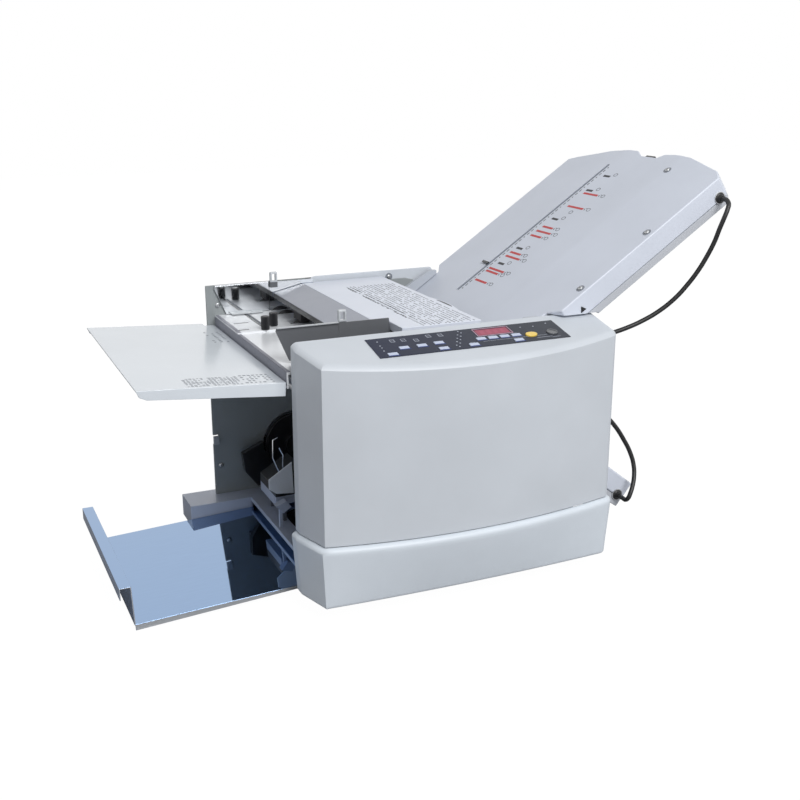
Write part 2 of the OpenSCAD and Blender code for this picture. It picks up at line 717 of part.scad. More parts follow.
// slope of the face in front of the raised field, and its height there
crown_tilt = atan(crown_h / (upper_half + 1 + crown_from_y));
function crown_at(y) = (y + upper_half + 1) * tan(crown_tilt);

// section of the crowned face, lowered by drop
module crown(drop) {
    rotate([90, 0, 90]) translate([0, 0, upper_low_u - 20]) linear_extrude(upper_len + 140)
        polygon([[-upper_half - 1, -200], [-upper_half - 1, -drop], [crown_from_y, crown_h - drop],
                 [crown_to_y, crown_h - drop], [upper_half + 1, -drop], [upper_half + 1, -200]]);
}

// room that the covers need under the overhanging edges of the plate, grown by g
module edge_notch(g) {
    span([upper_x - 60, -upper_half - 10, 300],
         [cover_len + 2 + g, -narrow_half - 0.5 + g, cover_top + 1 + g]);
    span([upper_x - 60, narrow_half + 0.5 - g, 300],
         [cover_len + 2 + g, upper_half + 10, rear_top_z + 2 + g]);
}

module upper_block(from_w, to_w, g, drop) difference() {
    on_upper() intersection() {
        translate([0, 0, from_w]) linear_extrude(to_w - from_w) polygon(upper_plan(g));
        crown(drop);
    }
    edge_notch(g > 1 ? shell_t : 0);
}

module upper_plate_top() color("lightsteelblue") place() difference() {
    upper_block(part_w, 60, 0, 0);
    upper_block(part_w - 1, 60, shell_t, shell_t);
    on_upper() {
        span([slot_from, slot_y - 1.8, -20], [slot_to, slot_y + 1.8, 30]);
        span([upper_low_u - 1, -narrow_half + shell_t, part_w - 1],
             [upper_low_u + shell_t + 1, narrow_half - shell_t, -8]);
    }
}

module upper_plate_bottom() color("gainsboro") place() {
    difference() {
        upper_block(-plate_thick, part_w - 0.6, 1, 0);
        upper_block(-plate_thick + shell_t, 60, 1 + shell_t, 0);
    }
    // entry channel from the rollers
    on_upper() {
        span([upper_low_u - 44, -lead_half, lead_w - lead_t], [upper_low_u + 8, lead_half, lead_w]);
        span([upper_low_u + 6.5, -lead_half, -plate_thick + 1], [upper_low_u + 8, lead_half, lead_w]);
    }
}

upper_stop_u = 44;
stop_half = 150;

module upper_stop() color("black") place() on_upper() {
    span([upper_stop_u - 8, -stop_half, -29], [upper_stop_u + 8, stop_half, -15]);
    span([upper_stop_u - 3, slot_y - 1, -16], [upper_stop_u + 3, slot_y + 1, crown_h + 1]);
    // pointer that shows on the scale beside the slot
    span([upper_stop_u - 2, slot_y - 3, crown_h + 0.6], [upper_stop_u + 2, slot_y + 16, crown_h + 2.4]);
}

// rails on the frame plates that the two fold plates slide in between
upper_slope = tan(upper_angle);
function upper_face_z(x) = upper_z + (x - upper_x) * upper_slope;
rest_w = 8;

module plate_rests() color("lightsteelblue") place() {
    rest_from = lid_right_x + 6;
    slab_y(inner_w - rest_w, inner_w)
        polygon([[rest_from, upper_face_z(rest_from) + 3], [rest_from, infeed_z - 1],
                 [upper_x - 22, frame_top - 3], [upper_x - 8, frame_top - 3],
                 [upper_x - 8, upper_face_z(upper_x - 8) + 3]]);
    slab_y(-inner_w, -inner_w + rest_w)
        polygon([[rest_from, upper_face_z(rest_from) + 3], [rest_from, infeed_z - 1],
                 [upper_x - 36, cover_top - 2], [upper_x - 14, cover_top - 2],
                 [upper_x - 14, upper_face_z(upper_x - 14) + 3]]);
    for (y = [-inner_w, inner_w - rest_w])
        on_upper() span([upper_low_u + 5, y, -plate_thick - 6], [0, y + rest_w, -plate_thick - 0.4]);
    for (y = [-inner_w, inner_w - rest_w - 6])
        on_lower() span([-lower_len + 10, y, -plate_thick - 6],
                        [-lower_len + 130, y + rest_w + 6, -plate_thick - 0.4]);
}

// frame of the lower plate: +X down the slope towards the tip, +Z out of its upper face
module on_lower() {
    translate([lower_in[0], 0, lower_in[1]]) rotate([0, lower_angle, 0])
        translate([lower_len, 0, 0]) children();
}

lower_in = r2 + [56.55, -6.66];
lower_y = inner_w - 7;
lower_part_w = -30;

module lower_plate_top() color("lightsteelblue") place() on_lower() difference() {
    span([-lower_len, -lower_y, lower_part_w], [0, lower_y, 0]);
    span([-lower_len + shell_t, -lower_y + shell_t, lower_part_w - 1],
         [-shell_t, lower_y - shell_t, -shell_t]);
    span([-lower_len - 1, -lead_half - 2, lower_part_w - 1], [-lower_len + 10, lead_half + 2, -14]);
}

module lower_plate_bottom() color("gainsboro") place() on_lower() {
    difference() {
        span([-lower_len + 1, -lower_y + 1, -plate_thick], [-1, lower_y - 1, lower_part_w - 0.6]);
        span([-lower_len + 1 + shell_t, -lower_y + 1 + shell_t, -plate_thick + shell_t],
             [-1 - shell_t, lower_y - 1 - shell_t, 0]);
    }
    // lip that leads the sheet in from the rollers
    span([-lower_len - 28, -lead_half, lower_part_w - 0.6 - lead_t],
         [-lower_len + 1 + shell_t, lead_half, lower_part_w + 0.9]);
}

lower_stop_u = -150;

module lower_stop() color("black") place() on_lower()
    span([lower_stop_u - 8, -stop_half, -28], [lower_stop_u + 8, stop_half, -8]);

// tray frame: origin where its sheet passes the cover's end, falling to the left
module tray_frame() {
    translate([0, 0, tray_z]) rotate([0, -tray_angle, 0]) children();
}

tray_front_y = -tray_w / 2 - 9.5;
tray_back_y = tray_w / 2 - 9.5;

module delivery_tray() color("lightblue") place() {
    tray_frame() {
        span([-tray_out, tray_front_y, -tray_t], [120, tray_back_y, 0]);
        slab_y(tray_front_y, tray_front_y + tray_t)
            polygon([[-tray_out, 0], [120, 0], [120, -4], [-tray_out, -9]]);
    }
    slab_y(tray_front_y, tray_back_y)
        polygon([[-tray_out - 0.5, tray_end_z - tray_t], [-tray_out - 3, stop_top - tray_t],
                 [stop_out + tray_t, stop_top - tray_t], [stop_out + tray_t, stop_top - 18],
                 [stop_out, stop_top - 18], [stop_out, stop_top], [-tray_out - 1.5, stop_top],
                 [-tray_out + 1, tray_end_z]]);
}

tray_z = 22;
tray_end_z = tray_z - tray_out * sin(tray_angle);
stop_top = tray_end_z + stop_h;
stop_out = -tray_out - tray_lip - 4.6;

module delivery_bracket() color("dimgray") place() {
    slab_y(150, 162) polygon([[23, 115], [60, 131], [61, 117], [89, 74], [68, 59], [48, 55], [27, 83]]);
    span([30, 162, 84], [48, inner_w, 100]);
    slab_y(20, 100) polygon([[37, 99], [83, 126], [82, 85], [37, 84]]);
    slab_y(20, 100) polygon([[37, 85], [82, 86], [84, 73], [37, 69]]);
    for (y = [26, 90]) span([50, y, deck_z], [56, y + 4, 76]);
    span([37, 4, deck_z], [42, 9, 78]);
    slab_y(-2, 12) polygon([[30, 78], [47, 85], [55, 74], [42, 65]]);
}

module control_panel() color("darkslateblue") place() difference() {
    on_panel() union() {
        translate([0, -panel_w, 0]) cube([panel_len, panel_w, panel_t / 2]);
        translate([2.3, -panel_w + 2.3, -6]) cube([panel_len - 4.6, panel_w - 4.6, 6.5]);
    }
    on_panel() {
        translate([6, -panel_w + 6, -7]) cube([panel_len - 12, panel_w - 12, 5]);
        for (k = key_places) translate([k[0] - key_len / 2 - key_gap, -k[1] - key_w / 2 - key_gap, -3])
            cube([key_len + 2 * key_gap, key_w + 2 * key_gap, 6]);
        translate([start_at[0], -start_at[1], -3])
            oval_prism(start_size[0] / 2 + key_gap, start_size[1] / 2 + key_gap, 6);
        translate([stop_at[0], -stop_at[1], -3]) cylinder(r = stop_r + key_gap, h = 6);
        // shallow window of the display
        translate([display_at[0], -display_at[1], panel_t / 2 + 0.1])
            cube([display_size[0], display_size[1], 1], center = true);
    }
}

// oval prism with half axes a and b
module oval_prism(a, b, h) {
    linear_extrude(h) polygon([for (i = [0 : 35]) [a * cos(i * 10), b * sin(i * 10)]]);
}

module key_cap(k) {
    on_panel() translate([k[0] - key_len / 2, -k[1] - key_w / 2, -0.2])
        cube([key_len, key_w, 0.2 + panel_t / 2 + key_travel]);
    on_panel() translate([k[0] - 2, -k[1] - 2, -1.6]) cube([4, 4, 2]);
}

module key_01() color("lightsteelblue") place() key_cap(key_places[0]);
module key_02() color("lightsteelblue") place() key_cap(key_places[1]);
module key_03() color("lightsteelblue") place() key_cap(key_places[2]);
module key_04() color("lightsteelblue") place() key_cap(key_places[3]);
module key_05() color("lightsteelblue") place() key_cap(key_places[4]);
module key_06() color("lightsteelblue") place() key_cap(key_places[5]);
module key_07() color("lightsteelblue") place() key_cap(key_places[6]);
module key_08() color("lightsteelblue") place() key_cap(key_places[7]);
module key_09() color("lightsteelblue") place() key_cap(key_places[8]);
module key_10() color("lightsteelblue") place() key_cap(key_places[9]);
module key_11() color("lightsteelblue") place() key_cap(key_places[10]);

module start_button() color("khaki") place() on_panel() translate([start_at[0], -start_at[1], -0.2])
    oval_prism(start_size[0] / 2, start_size[1] / 2, panel_t / 2 + 2.4);

module stop_button() color("lightgray") place() on_panel() translate([stop_at[0], -stop_at[1], -0.2])
    cylinder(r = stop_r, h = panel_t / 2 + 2.2);

rocker_at = [cover_len - 38, rear_back_y - 4, 74];

module power_rocker() color("black") place() difference() {
    translate([rocker_at[0] - 8, rocker_at[1], rocker_at[2]]) rotate([90, 0, 90]) linear_extrude(16)
        polygon([[-4, -9], [3, -9], [6, -8], [4.5, 0], [6, 8], [3, 9], [-4, 9]]);
    translate([rocker_at[0] - 9, rocker_at[1], rocker_at[2]]) rotate([0, 90, 0])
        cylinder(r = 1.5 + run_fit, h = 18);
}

module power_inlet() color("dimgray") place() {
    difference() {
        span([cover_len - 109.7, rear_back_y - 16, 60.3], [cover_len - 62.3, rear_back_y + 0, 87.7]);
        span([cover_len - 103, rear_back_y - 12, 66], [cover_len - 69, rear_back_y + 1, 82]);
    }
    for (x = [-94, -86, -78])
        span([cover_len + x - 1, rear_back_y - 12, 71], [cover_len + x + 1, rear_back_y - 3, 77]);
    difference() {
        span([cover_len - 49.7, rear_back_y - 14, 62.3], [cover_len - 26.3, rear_back_y + 0, 85.7]);
        span([cover_len - 46.5, rear_back_y - 12, 64.2], [cover_len - 29.5, rear_back_y + 1, 83.8]);
    }
    translate([cover_len - 47, rocker_at[1], rocker_at[2]]) rotate([0, 90, 0]) cylinder(r = 1.5, h = 18);
}

module screw_y(x, y, z, dir) {
    translate([x, y, z]) rotate([dir > 0 ? -90 : 90, 0, 0]) cylinder(r = screw_r, h = screw_h);
}

module screws() color("silver") place() {
    for (p = [[1, infeed_z + 16], [frame_left_x + 11, infeed_z - 45], [frame_left_x + 11, infeed_z - 115],
              [frame_left_x + 11, deck_z + 50]]) screw_y(p[0], inner_w, p[1], -1);
    screw_y(lid_right_x + 15, rear_lip_y, frame_top - 10, -1);
    for (x = [rear_left_x + 42, (rear_left_x + cover_len) / 2 - 1.5, cover_len - 45])
        for (z = [60, rear_top_z - 30]) screw_y(x, rear_back_y, z, 1);
    on_upper() {
        for (at = [[321, -90], [192, -188], [59, -188]])
            translate([at[0], at[1], crown_at(at[1])]) rotate([crown_tilt, 0, 0])
                translate([0, 0, 0.01]) cylinder(r = screw_r, h = screw_h);
        for (u = [190, 100])
            translate([u, upper_half, -12]) rotate([-90, 0, 0]) cylinder(r = screw_r, h = screw_h);
    }
    for (y = [-120, 120], z = [end_low_z + 22, end_top_z - 12])
        translate([end_x + end_t, y, z]) rotate([0, 90, 0]) cylinder(r = screw_r, h = screw_h);
}

module cord_glands() color("black") place() {
    on_upper() translate([upper_gland[0], -upper_half, upper_gland[1]]) rotate([90, 0, 0])
        cylinder(r1 = gland_r, r2 = cord_d / 2 + 1, h = gland_h);
    on_lower() translate([lower_gland[0], -lower_y, lower_gland[1]]) rotate([90, 0, 0])
        cylinder(r1 = gland_r, r2 = cord_d / 2 + 1, h = gland_h);
    for (z = [upper_socket_z, lower_socket_z])
        translate([end_x + end_t, socket_y, z]) rotate([0, 90, 0])
            cylinder(r1 = socket_r, r2 = cord_d / 2 + 1, h = socket_h);
}

// a round tube along a list of points
function unit(v) = v / norm(v);
function direction(p, i) =
    unit(i == 0 ? p[1] - p[0] : i == len(p) - 1 ? p[i] - p[i - 1] : p[i + 1] - p[i - 1]);
function ring(c, d, r, n) =
    let (side = unit(cross(d, [1, 1, -1])), up = cross(side, d))
    [for (k = [0 : n - 1]) c + r * (cos(360 * k / n) * side + sin(360 * k / n) * up)];

module tube(p, r, n = 8) {
    points = [for (i = [0 : len(p) - 1]) each ring(p[i], direction(p, i), r, n)];
    sides = [for (i = [0 : len(p) - 2], k = [0 : n - 1])
        [i * n + k, i * n + (k + 1) % n, (i + 1) * n + (k + 1) % n, (i + 1) * n + k]];
    ends = [[for (k = [n - 1 : -1 : 0]) k], [for (k = [0 : n - 1]) (len(p) - 1) * n + k]];
    polyhedron(points, concat(sides, ends));
}

module upper_cord() color("black") place() tube(upper_route, cord_d / 2);
module lower_cord() color("black") place() tube(lower_route, cord_d / 2);

base_pan();
feet();
front_frame();
rear_frame();
tie_bars();
front_cover();
front_skirt();
rear_cover();
end_panel();
screws();
infeed_deck();
side_plates();
guide_rail();
front_guide();
rear_guide();
lock_knob_front();
lock_knob_rear();
feed_table();
hinge_pins();
separator_cover();
separator_pad();
top_cover();
feed_roller();
fold_roller_1();
fold_roller_2();
fold_roller_3();
fold_roller_4();
bearings();
drive_motor();
motor_pulley();
drive_belt();
delivery_roller();
delivery_bracket();
delivery_tray();
upper_plate_top();
upper_plate_bottom();
upper_stop();
plate_rests();
lower_plate_top();
lower_plate_bottom();
lower_stop();
control_panel();
start_button();
stop_button();
power_rocker();
power_inlet();
upper_cord();
lower_cord();
cord_glands();
key_01();
key_02();
key_03();
key_04();
key_05();
key_06();
key_07();
key_08();
key_09();
key_10();
key_11();
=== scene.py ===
"""The looks of a desktop paper folding machine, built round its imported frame.

Sizes are millimetres in the machine's working frame: x runs from the inner end of the front cover,
y from the middle of the frame plates, z from the table top. at() turns them into the frame's metres.
"""
import json
import math

import bmesh
import bpy
from mathutils import Matrix, Vector

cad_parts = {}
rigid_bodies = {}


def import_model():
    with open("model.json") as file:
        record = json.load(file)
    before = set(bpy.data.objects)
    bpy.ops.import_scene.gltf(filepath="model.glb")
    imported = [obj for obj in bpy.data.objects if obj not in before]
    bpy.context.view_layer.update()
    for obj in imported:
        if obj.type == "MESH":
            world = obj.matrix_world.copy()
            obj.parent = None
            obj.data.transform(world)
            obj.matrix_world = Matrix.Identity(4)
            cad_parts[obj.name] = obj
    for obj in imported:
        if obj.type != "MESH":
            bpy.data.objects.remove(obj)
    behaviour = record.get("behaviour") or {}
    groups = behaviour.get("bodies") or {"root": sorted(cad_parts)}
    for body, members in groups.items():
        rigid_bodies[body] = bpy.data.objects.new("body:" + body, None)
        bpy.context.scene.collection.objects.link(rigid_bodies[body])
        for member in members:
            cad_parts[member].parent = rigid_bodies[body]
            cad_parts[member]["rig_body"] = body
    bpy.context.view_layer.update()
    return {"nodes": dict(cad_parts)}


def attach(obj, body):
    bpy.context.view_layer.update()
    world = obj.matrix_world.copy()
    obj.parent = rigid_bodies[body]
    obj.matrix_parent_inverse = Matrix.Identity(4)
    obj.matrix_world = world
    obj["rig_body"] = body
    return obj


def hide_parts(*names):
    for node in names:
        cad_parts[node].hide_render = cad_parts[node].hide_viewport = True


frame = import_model()
nodes = frame["nodes"]

MM = 0.001
SAME_SPOT = 1e-6
SHARP, TURNED_SHARP = 34, 40
TAU = 2 * math.pi
FIXED = "machine"
X_MID = 237.4
Y_MID = -24.3


def linked(name, data):
    """An object for a mesh, curve, lamp or camera, in the scene."""
    obj = bpy.data.objects.new(name, data)
    bpy.context.scene.collection.objects.link(obj)
    return obj


def at(x, y, z):
    """A point of the working frame, in the frame's metres."""
    return Vector((x - X_MID, y - Y_MID, z)) * MM


class Face:
    """A flat frame on the machine: an origin and three directions, all in the working frame."""

    def __init__(self, origin, right, up, out):
        self.origin, self.right, self.up, self.out = map(Vector, (origin, right, up, out))

    def __call__(self, a, b, h=0.0):
        return at(*(self.origin + self.right * a + self.up * b + self.out * h))

    def matrix(self, a=0.0, b=0.0, h=0.0):
        turn = Matrix((self.right, self.up, self.out)).transposed().to_4x4()
        return Matrix.Translation(self(a, b, h)) @ turn

    def moved(self, a=0.0, b=0.0, h=0.0):
        """The same frame from another origin."""
        origin = self.origin + self.right * a + self.up * b + self.out * h
        return Face(origin, self.right, self.up, self.out)

    def side(self, y, a=0.0, h=0.0):
        """A tilted frame seen from the front, from a plane y: a along its slope, b outward."""
        origin = self.origin + self.right * a + self.out * h + Vector((0, y, 0))
        return Face(origin, self.right, self.out, (0, -1, 0))


def tilted(origin, degrees):
    """A frame tilted up towards +X by some degrees: a along the slope, b across the machine."""
    c, s = math.cos(math.radians(degrees)), math.sin(math.radians(degrees))
    return Face(origin, (c, 0, s), (0, 1, 0), (-s, 0, c))


SLOPE = math.radians(12.5288)
COVER_TOP = 384.0
COVER_BACK_Y = -186.0
COVER_LEN = 465.0
INFEED_Z = 345.0

work = Face((0, 0, 0), (1, 0, 0), (0, 1, 0), (0, 0, 1))
upper = tilted((393, 0, 386), 34)
lower = tilted((336.55, 0, 269.34), -37.7)
tray = tilted((0, 0, 22), 3)
table = tilted((-6, 0, 329.5), -3.4)
panel = Face((98, -202, 380.44), (1, 0, 0), (0, math.cos(SLOPE), math.sin(SLOPE)),
             (0, -math.sin(SLOPE), math.cos(SLOPE)))
end_face = Face((454, 0, 0), (0, 1, 0), (0, 0, 1), (1, 0, 0))


# ---- camera and studio

def aim(obj, back):
    """Turns a camera or a lamp so that a direction is straight behind it."""
    obj.rotation_mode = "QUATERNION"
    obj.rotation_quaternion = (-Vector(back)).to_track_quat("-Z", "Y")


def camera():
    """The photo's camera, as solved from the machine's straight edges."""
    azimuth, elevation = math.radians(-24.03), math.radians(17.13)
    data = bpy.data.cameras.new("camera")
    data.lens, data.sensor_width = 50.35, 36
    eye = linked("camera", data)
    eye.location = Vector((-0.6833, -1.5132, 0.7422))
    aim(eye, (math.sin(azimuth) * math.cos(elevation), -math.cos(azimuth) * math.cos(elevation),
              math.sin(elevation)))
    bpy.context.scene.camera = eye


def lamp(name, place, target, size, power, mirrored=True):
    """A round area lamp, which mirroring surfaces needn't show."""
    data = bpy.data.lights.new(name, "AREA")
    data.shape, data.size = "DISK", size
    data.energy = power
    light = linked(name, data)
    light.location = place
    light.visible_glossy = mirrored
    aim(light, Vector(place) - Vector(target))


# ---- shader maths

class Wire:
    """An output socket on which Python's operators add Math nodes."""

    def __init__(self, owner, socket):
        self.owner, self.socket = owner, socket

    def maths(self, operation, *values):
        return self.owner.node("Math", {"operation": operation}, dict(enumerate(values)))

    def __add__(self, other):
        return self.maths("ADD", self, other)

    def __sub__(self, other):
        return self.maths("SUBTRACT", self, other)

    def __rsub__(self, other):
        return self.maths("SUBTRACT", other, self)

    def __mul__(self, other):
        return self.maths("MULTIPLY", self, other)

    __radd__, __rmul__ = __add__, __mul__

    def __gt__(self, other):
        return self.maths("GREATER_THAN", self, other)

    def __lt__(self, other):
        """Also the reflected form of >."""
        return self.maths("LESS_THAN", self, other)


EVEN = (1, 1, 1)


class Tree:
    """A node tree under construction."""

    prefix = ""

    def node(self, kind, settings=None, inputs=None, output=0):
        """Adds a node: its settings first, then the values or wires of its sockets."""
        made = self.tree.nodes.new(self.prefix + kind)
        for key, value in (settings or {}).items():
            setattr(made, key, value)
        for key, value in (inputs or {}).items():
            if isinstance(value, Wire):
                self.tree.links.new(value.socket, made.inputs[key])
            else:
                made.inputs[key].default_value = value
        return Wire(self, made.outputs[output]) if made.outputs else None


class Shade(Tree):
    """The nodes of a material or of the sky."""

    prefix = "ShaderNode"

    def __init__(self, owner):
        owner.use_nodes = True
        self.owner, self.tree = owner, owner.node_tree
        self.tree.nodes.clear()

    def axes(self):
        """The object coordinates x, y and z."""
        spot = self.node("TexCoord", output="Object")
        return [self.node("SeparateXYZ", inputs={"Vector": spot}, output=i) for i in range(3)]

    def noise(self, scale, detail=2.0, stretch=EVEN, rough=0.5):
        """Noise over the object coordinates, stretched along each axis."""
        spot = self.node("Mapping", inputs={"Vector": self.node("TexCoord", output="Object"), "Scale": stretch})
        return self.node("TexNoise", inputs={"Vector": spot, "Scale": scale, "Detail": detail,
                                             "Roughness": rough})

    def blend(self, factor, first, second):
        """A colour between two, by a factor."""
        return self.node("Mix", {"data_type": "RGBA"}, {0: factor, 6: first, 7: second}, 2)

    def bump(self, height, strength, distance):
        return self.node("Bump", inputs={"Height": height, "Strength": strength, "Distance": distance})

    def finish(self, **sockets):
        inputs = {key.replace("_", " "): value for key, value in sockets.items()}
        return self.end(self.node("BsdfPrincipled", inputs=inputs))

    def end(self, surface, kind="Material"):
        self.node("Output" + kind, inputs={"Surface": surface})
        return self.owner


def new_shade(name):
    return Shade(bpy.data.materials.new(name))


def rgb(red, green, blue, factor=1.0):
    """An sRGB colour of 0 to 255 as a linear colour with alpha."""
    def linear(v):
        v = min(1.0, v * factor / 255)
        return v / 12.92 if v <= 0.04045 else ((v + 0.055) / 1.055) ** 2.4
    return (linear(red), linear(green), linear(blue), 1.0)


def surface(name, colour, tints, cloud, rough, worn=None, relief=None, **more):
    """A mottled colour, an uneven gloss and a fine relief, each from noise with its own settings.

    tints: how dark and how light the colour gets; rough: how much the noise adds, and the least;
    worn: the gloss's own noise; relief: its noise, or None for the colour's, strength and depth.
    """
    s = new_shade(name)
    mottle = s.noise(*cloud)
    base = s.blend(mottle, *(rgb(*colour, tint) for tint in tints))
    added, least = rough
    if relief:
        grain, strength, depth = relief
        more["Normal"] = s.bump(s.noise(*grain) if grain else mottle, strength, depth)
    if "Emission_Strength" in more:
        more["Emission_Color"] = base
    return s.finish(Base_Color=base, Roughness=(s.noise(*worn) if worn else mottle) * added + least, **more)


def moulded(name, colour, rough=0.42, grain=0.25):
    """Fine-grained moulded plastic: faint mottling, a spark-eroded grain and soft wear in the gloss."""
    return surface(name, colour, (0.965, 1.035), (9.0, 3.0), (0.16, rough - 0.08), (28.0, 4.0, EVEN, 0.6),
                   ((1500.0, 2.0), grain, 0.0002), Specular_IOR_Level=0.45)


def painted(name, colour, rough=0.35, coat=0.15):
    """Stoved paint on sheet metal: a shallow orange peel under a thin gloss."""
    return surface(name, colour, (0.97, 1.03), (7.0, 2.0), (0.14, rough - 0.07), (35.0, 3.0),
                   ((420.0, 1.0), 0.12, 0.0003), Coat_Weight=coat, Coat_Roughness=0.25)


def metal(name, colour, rough=0.3, lines=(1, 30, 30)):
    """Bare metal with drawn or turned lines along the axis that isn't stretched."""
    return surface(name, colour, (0.93, 1.05), (60.0, 4.0, lines, 0.7), (0.2, rough - 0.1),
                   relief=(None, 0.15, 0.0002), Metallic=1.0)


def rubber(name, colour, rough=0.7):
    """Rubber or a soft jacket, with dust that lightens and dulls it."""
    return surface(name, colour, (1.0, 1.35), (120.0, 5.0, EVEN, 0.7), (0.2, rough - 0.1),
                   relief=((900.0,), 0.3, 0.0002))


def gloss(name, colour, rough=0.2, coat=0.4):
    """Smooth plastic or ink, with faint smears."""
    return surface(name, colour, (0.96, 1.04), (50.0, 4.0), (0.12, rough), Coat_Weight=coat,
                   Coat_Roughness=0.12)


def lit(name, colour, strength):
    """A lit or printed spot, with a faint glow."""
    return surface(name, colour, (0.95, 1.05), (400.0,), (0.1, 0.3), Emission_Strength=strength)


def polished(name, colour, rough):
    """Polished steel: an even sheen with faint rolling streaks."""
    return surface(name, colour, (0.985, 1.015), (30.0, 3.0, (1, 12, 12)), (0.02, rough), Metallic=1.0)


def film():
    """The panel's printed film: dark blue-grey that lightens a little towards its right end."""
    s = new_shade("panel_film")
    fade = s.node("MapRange", inputs={0: s.axes()[0], 1: -0.14, 2: 0.15, 3: 0.0, 4: 1.0})
    base = s.blend(fade, rgb(24, 32, 56), rgb(52, 56, 64))
    return s.finish(Base_Color=base, Roughness=s.noise(60.0, 3.0) * 0.1 + 0.35, Specular_IOR_Level=0.2,
                    Normal=s.bump(s.noise(1200.0), 0.1, 0.0001))


COVER = moulded("cover_grey", (206, 211, 217))
# Lighter than the cover grey to make up for the shade on the skirt's downward slope: painted light.
SKIRT = moulded("skirt_grey", (219, 226, 233))
PLATE = moulded("plate_grey", (214, 219, 230), rough=0.38)
PLATE_UNDER = moulded("plate_under_grey", (190, 193, 199))
LID = moulded("lid_grey", (220, 225, 236), rough=0.33, grain=0.12)
SEPARATOR = moulded("separator_grey", (150, 154, 165), rough=0.35)
BASE = painted("base_grey", (184, 190, 205))
RAIL = painted("rail_grey", (186, 191, 199))
WEDGE = painted("wedge_white", (238, 240, 243), rough=0.3)
REAR_FRAME = painted("rear_frame_grey", (148, 153, 154), rough=0.35, coat=0.1)
FRONT_FRAME = painted("front_frame_grey", (165, 170, 172))
GUIDE = painted("guide_grey", (98, 100, 104), rough=0.42, coat=0.05)
GUIDE_LIP = painted("guide_lip_grey", (176, 180, 184), rough=0.3)
DECK = painted("deck_grey", (244, 246, 250), rough=0.2, coat=0.4)
TABLE = painted("table_white", (220, 226, 232), rough=0.16, coat=0.5)
# Bright steel: the spring wires' own colour, and a painted highlight on the tray's front edge and stop.
WIRE_STEEL_AND_HIGHLIGHT = metal("wire_steel_and_painted_highlight", (236, 239, 242), 0.22)
STEEL = metal("bright_steel", (200, 202, 205), 0.28)
SHEEN = polished("polished_sheet", (232, 235, 238), 0.05)
# Grey of the deck's left edge and lip, painted as the shadow of the gap beside the feed table.
GAP_SHADOW_GREY = rubber("gap_shadow_grey", (112, 113, 122), 0.5)
SEAT = painted("seat_grey", (128, 133, 142), rough=0.5)
SCREW = metal("screw_steel", (178, 180, 182), 0.32, (20, 20, 20))
ALLOY = metal("alloy", (205, 206, 208), 0.3, (30, 1, 30))
BRONZE = metal("sintered_bronze", (170, 135, 88), 0.42, (8, 8, 8))
# The tray's blue tint is a painted reflection of a bluish surround, held in the steel's colour.
STEEL_BLUE_REFLECTION = polished("polished_steel", (148, 173, 206), 0.02)
FEED_RUBBER = rubber("feed_rubber", (38, 38, 40))
ROLLER_RUBBER = rubber("roller_rubber", (62, 62, 64), 0.6)
SOLE = rubber("foot_rubber", (30, 30, 31), 0.85)
JACKET = rubber("cord_jacket", (17, 17, 18), 0.45)
BLACK = gloss("black_plastic", (24, 25, 27), 0.28, 0.2)
KNURLED = gloss("knob_plastic", (46, 47, 50), 0.38, 0.1)
DRUM = gloss("delivery_black", (20, 20, 23), 0.32, 0.15)
MOTOR = painted("motor_black", (32, 33, 35))
BRACKET = painted("bracket_grey", (96, 98, 104), rough=0.4)
KEY = gloss("key_blue", (196, 205, 226), 0.35, 0.1)
START = gloss("start_yellow", (240, 205, 96), 0.3, 0.3)
STOP = gloss("stop_grey", (66, 70, 76), 0.2, 0.6)
CLEAR = surface("clip_clear", (197, 201, 205), (0.944, 1.055), (200.0,), (0.1, 0.15), Coat_Weight=0.3)
FILM = film()
INK = gloss("ink_black", (38, 40, 46), 0.5, 0.0)
INK_GREY = gloss("ink_grey", (112, 116, 124), 0.5, 0.0)
INK_BAND = gloss("ink_band", (118, 125, 137), 0.5, 0.0)
INK_RED = gloss("ink_red", (192, 60, 60), 0.45, 0.0)
INK_PALE = gloss("ink_pale", (176, 182, 194), 0.45, 0.0)
DISPLAY = lit("display_red", (150, 52, 80), 0.05)
DISPLAY_LIT = lit("display_lit", (160, 62, 90), 0.07)
DISPLAY_EDGE = gloss("display_edge", (198, 160, 178), 0.4, 0.0)
# Dark blue of the strips painted as shadows below the keys.
KEY_SHADE = gloss("key_shade", (38, 60, 128), 0.4, 0.0)


# ---- mesh helpers

def shape(name, points, faces, material):
    """A mesh object of points in metres."""
    mesh = bpy.data.meshes.new(name)
    mesh.from_pydata([tuple(p) for p in points], [], faces)
    mesh.materials.append(material)
    mesh.update()
    return linked(name, mesh)


class Edited:
    """An object's mesh, open for editing inside a with block."""

    def __init__(self, obj):
        self.data, self.mesh = obj.data, bmesh.new()
        self.mesh.from_mesh(self.data)

    def __enter__(self):
        return self.mesh

    def __exit__(self, *_):
        self.mesh.to_mesh(self.data)
        self.mesh.free()


def arc(x, y, half_x, half_y, start, turn, steps):
    """Points on an oval arc about a centre, from a start angle through a turn, with both ends."""
    angles = [start + turn * k / steps for k in range(steps + 1)]
    return [(x + half_x * math.cos(a), y + half_y * math.sin(a)) for a in angles]


def prism(name, outline, low, high, material, put=work):
    """A closed prism over an outline of (a, b) points, from low to high along the face's outward way."""
    n = len(outline)
    area = sum(outline[i - 1][0] * outline[i][1] - outline[i][0] * outline[i - 1][1] for i in range(n))
    points = outline if area > 0 else outline[::-1]
    rings = [put(a, b, h) for h in (low, high) for a, b in points]
    faces = [tuple(range(n - 1, -1, -1)), tuple(range(n, 2 * n))]
    faces += [(i, (i + 1) % n, n + (i + 1) % n, n + i) for i in range(n)]
    return shape(name, rings, faces, material)


